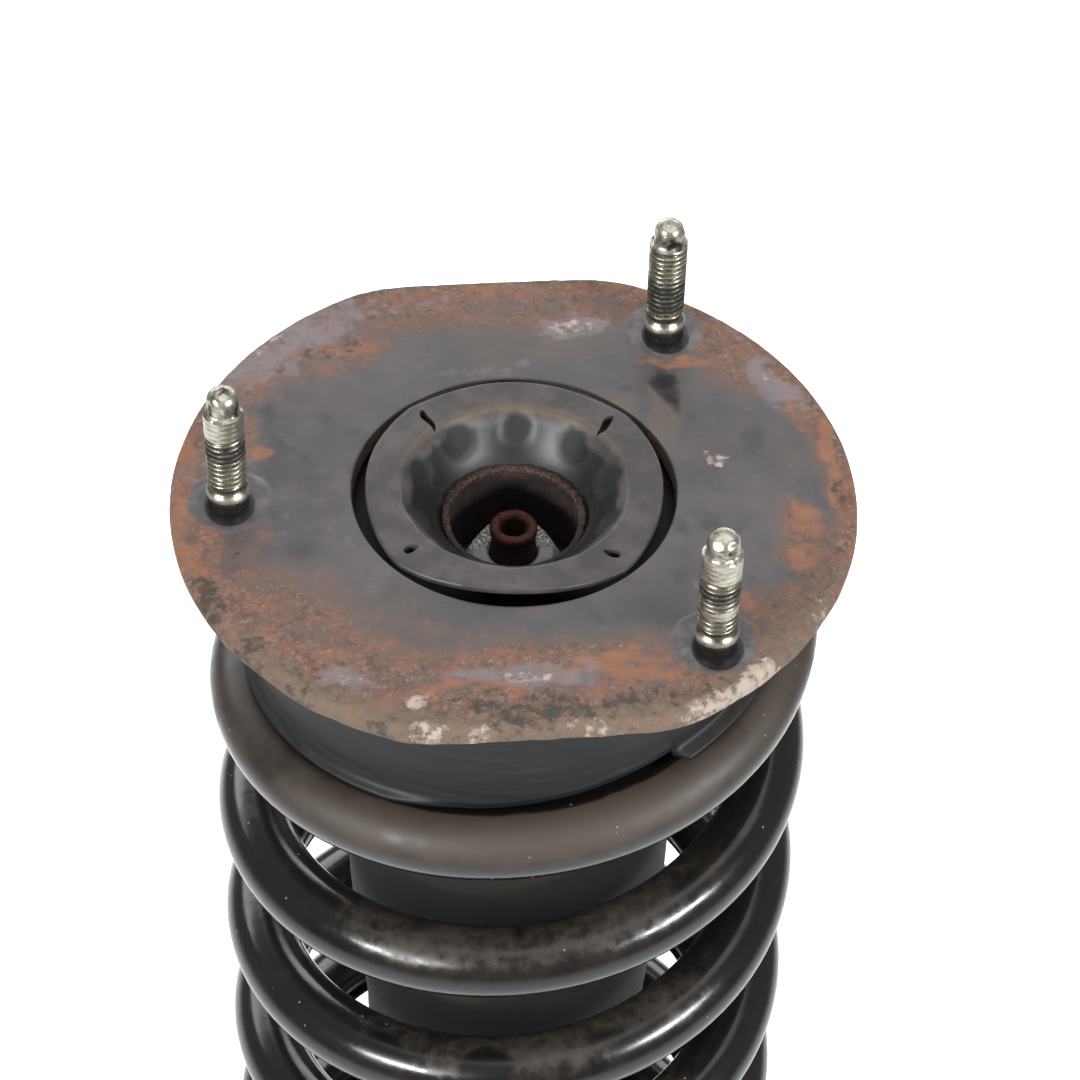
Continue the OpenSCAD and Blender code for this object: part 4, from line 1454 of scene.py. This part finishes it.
@dataclass
class DamperBody:
    """Damper tube with its spring seat, lower eye, bush and welds."""

    tube: float = 25.0
    bore: float = 23.0
    crimp: float = 19.5
    perch: float = 68.48
    sheet: float = 3.0
    eye: float = 20.0
    eye_wall: float = 3.5
    neck: float = 17.0
    bolt: float = 6.1

    def tube_and_seat(self, paints: Paints) -> None:
        """Make the tube with its rolled top, and the dished spring seat.

        Args:
            paints: The finishes.
        """
        bottom, top = low("damper_tube"), high("damper_tube")
        floor = bottom + 6
        tube = turned("damper_tube_shell", finer(fillet([
            (0.001, bottom, 0), (self.tube, bottom, 1.4), (self.tube, top, 1.4),
            (self.crimp, top, 0.4), (self.crimp, top - 1.6, 0.2), (self.bore, top - 1.6, 0.4),
            (self.bore, floor, 1.0), (0.001, floor, 0)]), 6))
        height = tube.points[:, 2]
        outside = np.hypot(tube.points[:, 0], tube.points[:, 1]) > self.tube - 1
        band = ease(1.3 - np.abs(height - low("lower_spring_seat")) / 7)
        foot = ease((bottom + 9 - height) / 8)
        tube.covers["rust"] = np.where(outside, 0.75 * band + 0.6 * foot, 0)
        settle(tube.make(paints.of(TUBE_PAINT), 50), "damper_body", "tube_paint", "damper_tube")
        perch_low, rim = low("lower_spring_seat"), high("lower_spring_seat")
        face = low("lower_spring_pad")
        dish, inner, collar = face - 20, self.tube + 0.05, self.tube + self.sheet
        seat = turned("lower_spring_seat_pressing", finer(fillet([
            (inner, perch_low, 0.3), (collar, perch_low, 0.6), (collar, dish - 3, 2.5),
            (self.tube + 10, dish - 3, 4), (45, face - 3, 4), (self.perch, face - 3, 2.5),
            (self.perch, rim, 0.9), (self.perch - self.sheet, rim, 0.9),
            (self.perch - self.sheet, face, 1.6), (44, face, 4), (self.tube + 9, dish, 4),
            (inner, dish, 1.0)]), 4), 240)
        points = seat.points
        edge = ease(1.2 - (rim - points[:, 2]) / 4) * (np.hypot(points[:, 0], points[:, 1]) > 60)
        seat.covers["rust"] = 0.62 * edge + 0.55 * ease(1.2 - (points[:, 2] - perch_low) / 4)
        settle(seat.make(paints.of(TUBE_PAINT), 50), "damper_body", "tube_paint",
               "lower_spring_seat")

    def weld(self, name: str, radius: float, height: float, size: float, paints: Paints) -> None:
        """Make a weld bead round the tube.

        Args:
            name: The bead's name.
            radius: Distance of the bead's centre from the axis.
            height: Height of the bead's centre.
            size: Half the bead's width.
            paints: The finishes.
        """
        turn = circle(240)[:, None]
        bow = circle(14)[None]
        ripple = size * (1 + 0.10 * np.sin(34 * turn) + 0.05 * np.sin(11 * turn))
        r = radius + ripple * np.cos(bow)
        bead = Piece(name, polar(r, turn, height + ripple * 0.85 * np.sin(bow)),
                     covers={"rust": 0.6})
        settle(bead.make(paints.of(TUBE_PAINT), 60), "damper_body", "tube_paint")

    def lower_eye(self, paints: Paints) -> None:
        """Make the eye with its neck, the bonded rubber and the bolt sleeve.

        Args:
            paints: The finishes.
        """
        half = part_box("lower_eye")[1].y / MM
        bore = self.eye - self.eye_wall
        angle = circle(200)
        ring = fillet([(bore, -half, 0.5), (self.eye, -half, 1.0), (self.eye, half, 1.0),
                       (bore, half, 0.5)])
        eye = turned("lower_eye_ring", finer(ring, 4), 200, flat=True)
        eye.covers["rust"] = 0.35 + 0.4 * ease((np.abs(eye.points[:, 1]) - half + 2) / 2)
        settle(eye.make(paints.of(TUBE_PAINT), 50), "damper_body", "tube_paint", "lower_eye")
        heights = np.linspace(0, 1, 12)[:, None]
        x, y = self.neck * np.cos(angle)[None], self.neck * np.sin(angle)[None]
        aside = np.minimum(np.abs(x), self.eye - 1)
        saddle = np.sqrt(np.maximum((self.eye - 0.6) ** 2 - aside ** 2, 0))
        top = low("damper_tube")
        flare = 1 + 0.04 * ease(heights * 3 - 2)
        z = saddle + (top - saddle) * heights
        neck = Piece("lower_eye_neck", np.stack([x * flare, y * flare, z], -1), ring=False,
                     capped=True, covers={"rust": 0.5})
        settle(neck.make(paints.of(TUBE_PAINT), 50), "damper_body", "tube_paint")
        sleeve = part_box("lower_sleeve")[1].x / MM
        half_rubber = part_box("eye_rubber")[1].y / MM
        inner, outer, dip = sleeve + 0.05, bore, half_rubber - 1.6
        bulge = fillet([
            (inner, -half_rubber, 0.5), (sleeve + 1.6, -dip, 1.2), (outer - 1.6, -dip, 1.2),
            (outer, -half_rubber, 0.5), (outer, half_rubber, 0.5), (outer - 1.6, dip, 1.2),
            (sleeve + 1.6, dip, 1.2), (inner, half_rubber, 0.5)])
        bush = turned("eye_rubber_bush", bulge, 120, flat=True)
        settle(bush.make(paints.of(RUBBER), 50), "damper_body", "rubber", "eye_rubber")
        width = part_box("lower_sleeve")[1].y / MM
        outline = fillet([(self.bolt, -width, 0.7), (sleeve, -width, 0.5),
                          (sleeve, width, 0.5), (self.bolt, width, 0.7)])
        pin = turned("lower_bolt_sleeve", finer(outline, 5), 96, flat=True)
        settle(pin.make(paints.of(ZINC), 50), "eye_sleeve", "zinc_steel", "lower_sleeve")

    def build(self, paints: Paints) -> None:
        """Make the body from the top down.

        Args:
            paints: The finishes.
        """
        self.tube_and_seat(paints)
        self.weld("seat_weld_bead", self.tube + 1.6, low("lower_spring_seat") - 0.6, 1.9, paints)
        self.weld("eye_weld_bead", self.neck + 1.4, low("damper_tube") - 0.6, 2.3, paints)
        self.lower_eye(paints)


@dataclass(frozen=True)
class InnerParts:
    """CAD nodes sealed inside the damper, which keep their shape and take a finish."""

    finishes: tuple[tuple[str, Finish], ...] = (
        ("rebound_stop", ZINC), ("upper_valve_shims", SHIM), ("piston", ALLOY),
        ("piston_band", BAND), ("lower_valve_shims", SHIM), ("piston_nut", ZINC),
        ("rod_guide", ALLOY), ("rod_guide_seal_ring", SEAL), ("rod_guide_bush", BRONZE),
        ("rod_seal", SEAL), ("floating_piston", ALLOY), ("floating_piston_ring", SEAL))

    def build(self, paints: Paints) -> None:
        """Give each inner part its finish.

        Args:
            paints: The finishes.
        """
        for name, finish in self.finishes:
            node = frame["nodes"][name]
            node.data.materials.clear()
            node.data.materials.append(paints.of(finish))
            LOG.info("%s keeps its CAD shape", name)


# --------------------------------------------------------------------------
# Studio


@dataclass
class Studio:
    """White floor, soft lights and the camera."""

    tilt: float = math.radians(45.18)
    yaw: float = math.radians(-6.0)
    roll: float = math.radians(1.58)
    away: float = 671.7
    shift_x: float = 5.187
    shift_z: float = -10.451
    lens: float = 110.86

    def camera(self) -> None:
        """Set the camera at 45 degrees over the front of the plate."""
        back = Vector((0, -math.cos(self.tilt), math.sin(self.tilt)))
        right, up = Vector((1, 0, 0)), Vector((0, math.sin(self.tilt), math.cos(self.tilt)))
        c, s = math.cos(self.roll), math.sin(self.roll)
        across, upward = right * c + up * s, up * c - right * s
        place = back * self.away + across * self.shift_x + upward * self.shift_z
        turn = Matrix.Rotation(self.yaw, 3, "Z")
        axes = Matrix((turn @ across, turn @ upward, turn @ back)).transposed()
        spot = (turn @ place + Vector((0, 0, high("mount_plate")))) * MM
        data = bpy.data.cameras.new("studio_camera")
        data.lens, data.sensor_width = self.lens, 36.0
        data.clip_start = 0.01
        bpy.context.scene.camera = link(
            "studio_camera", data, Matrix.Translation(spot) @ axes.to_4x4())

    def light(self, name: str, place: Corner, aim: Corner, size: tuple[float, float],
              watts: float) -> None:
        """Hang a soft box.

        Args:
            name: The light's name.
            place: Where it hangs, in metres.
            aim: The point that it faces, in metres.
            size: Width and height in metres.
            watts: Its power.
        """
        data = bpy.data.lights.new(name, "AREA")
        data.shape, data.size, data.size_y = "RECTANGLE", size[0], size[1]
        data.energy = watts
        spot = Vector(place)
        facing = (spot - Vector(aim)).to_track_quat("Z", "Y")
        link(name, data, Matrix.Translation(spot) @ facing.to_matrix().to_4x4())

    def floor(self) -> None:
        """Lay the pale floor under the lower eye."""
        level = low("lower_eye") * MM - 0.0004
        size = 6.0
        mesh = bpy.data.meshes.new("studio_floor")
        mesh.from_pydata([(-size, -size, level), (size, -size, level), (size, size, level),
                          (-size, size, level)], [], [(0, 1, 2, 3)])
        white = bpy.data.materials.new("matt_white_floor")
        white.use_nodes = True
        shader = white.node_tree.nodes["Principled BSDF"]
        shader.inputs["Base Color"].default_value = linear("#f7f7f7")
        shader.inputs["Roughness"].default_value = 0.9
        mesh.materials.append(white)
        link("studio_floor", mesh)

    def build(self) -> None:
        """Set up the camera, the lights and the floor."""
        self.camera()
        self.floor()
        top = high("mount_plate") * MM
        # one box close over the plate, one for the floor behind, and two wide ones at
        # the sides, whose long highlights run along the wire
        self.light("soft_box_over", (0.02, 0.02, top + 0.44), (0, 0, top), (0.6, 0.6), 1.55)
        self.light("soft_box_behind", (0, 0.72, 0.62), (0, 0.72, 0), (1.3, 0.7), 12)
        self.light("soft_box_left", (-0.70, -0.59, 0.80), (0, 0, 0.36), (0.38, 0.09), 11)
        self.light("soft_box_right", (0.66, -0.64, 0.80), (0, 0, 0.36), (0.38, 0.09), 11)
        world = bpy.data.worlds.new("studio_air")
        world.use_nodes = True
        sky = world.node_tree.nodes["Background"]
        sky.inputs["Color"].default_value = linear("#ffffff")
        sky.inputs["Strength"].default_value = 0.25
        bpy.context.scene.world = world
        bpy.context.scene.view_settings.view_transform = "Standard"


def main() -> None:
    """Build the strut from the top down, then the studio round it."""
    logging.basicConfig(level=logging.INFO, format="%(name)s: %(message)s")
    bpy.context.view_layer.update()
    paints = Paints()
    path = SpringPath()
    MountPlate().build(paints)
    MountStuds().build(paints)
    MountBody().build(paints)
    RetainerDisc().build(paints)
    RodFixing().build(paints)
    CoilSpring(path).build(paints)
    SpringPads(path).build(paints)
    DustGuard().build(paints)
    DamperBody().build(paints)
    InnerParts().build(paints)
    Studio().build()


if __name__ == "__main__":
    main()
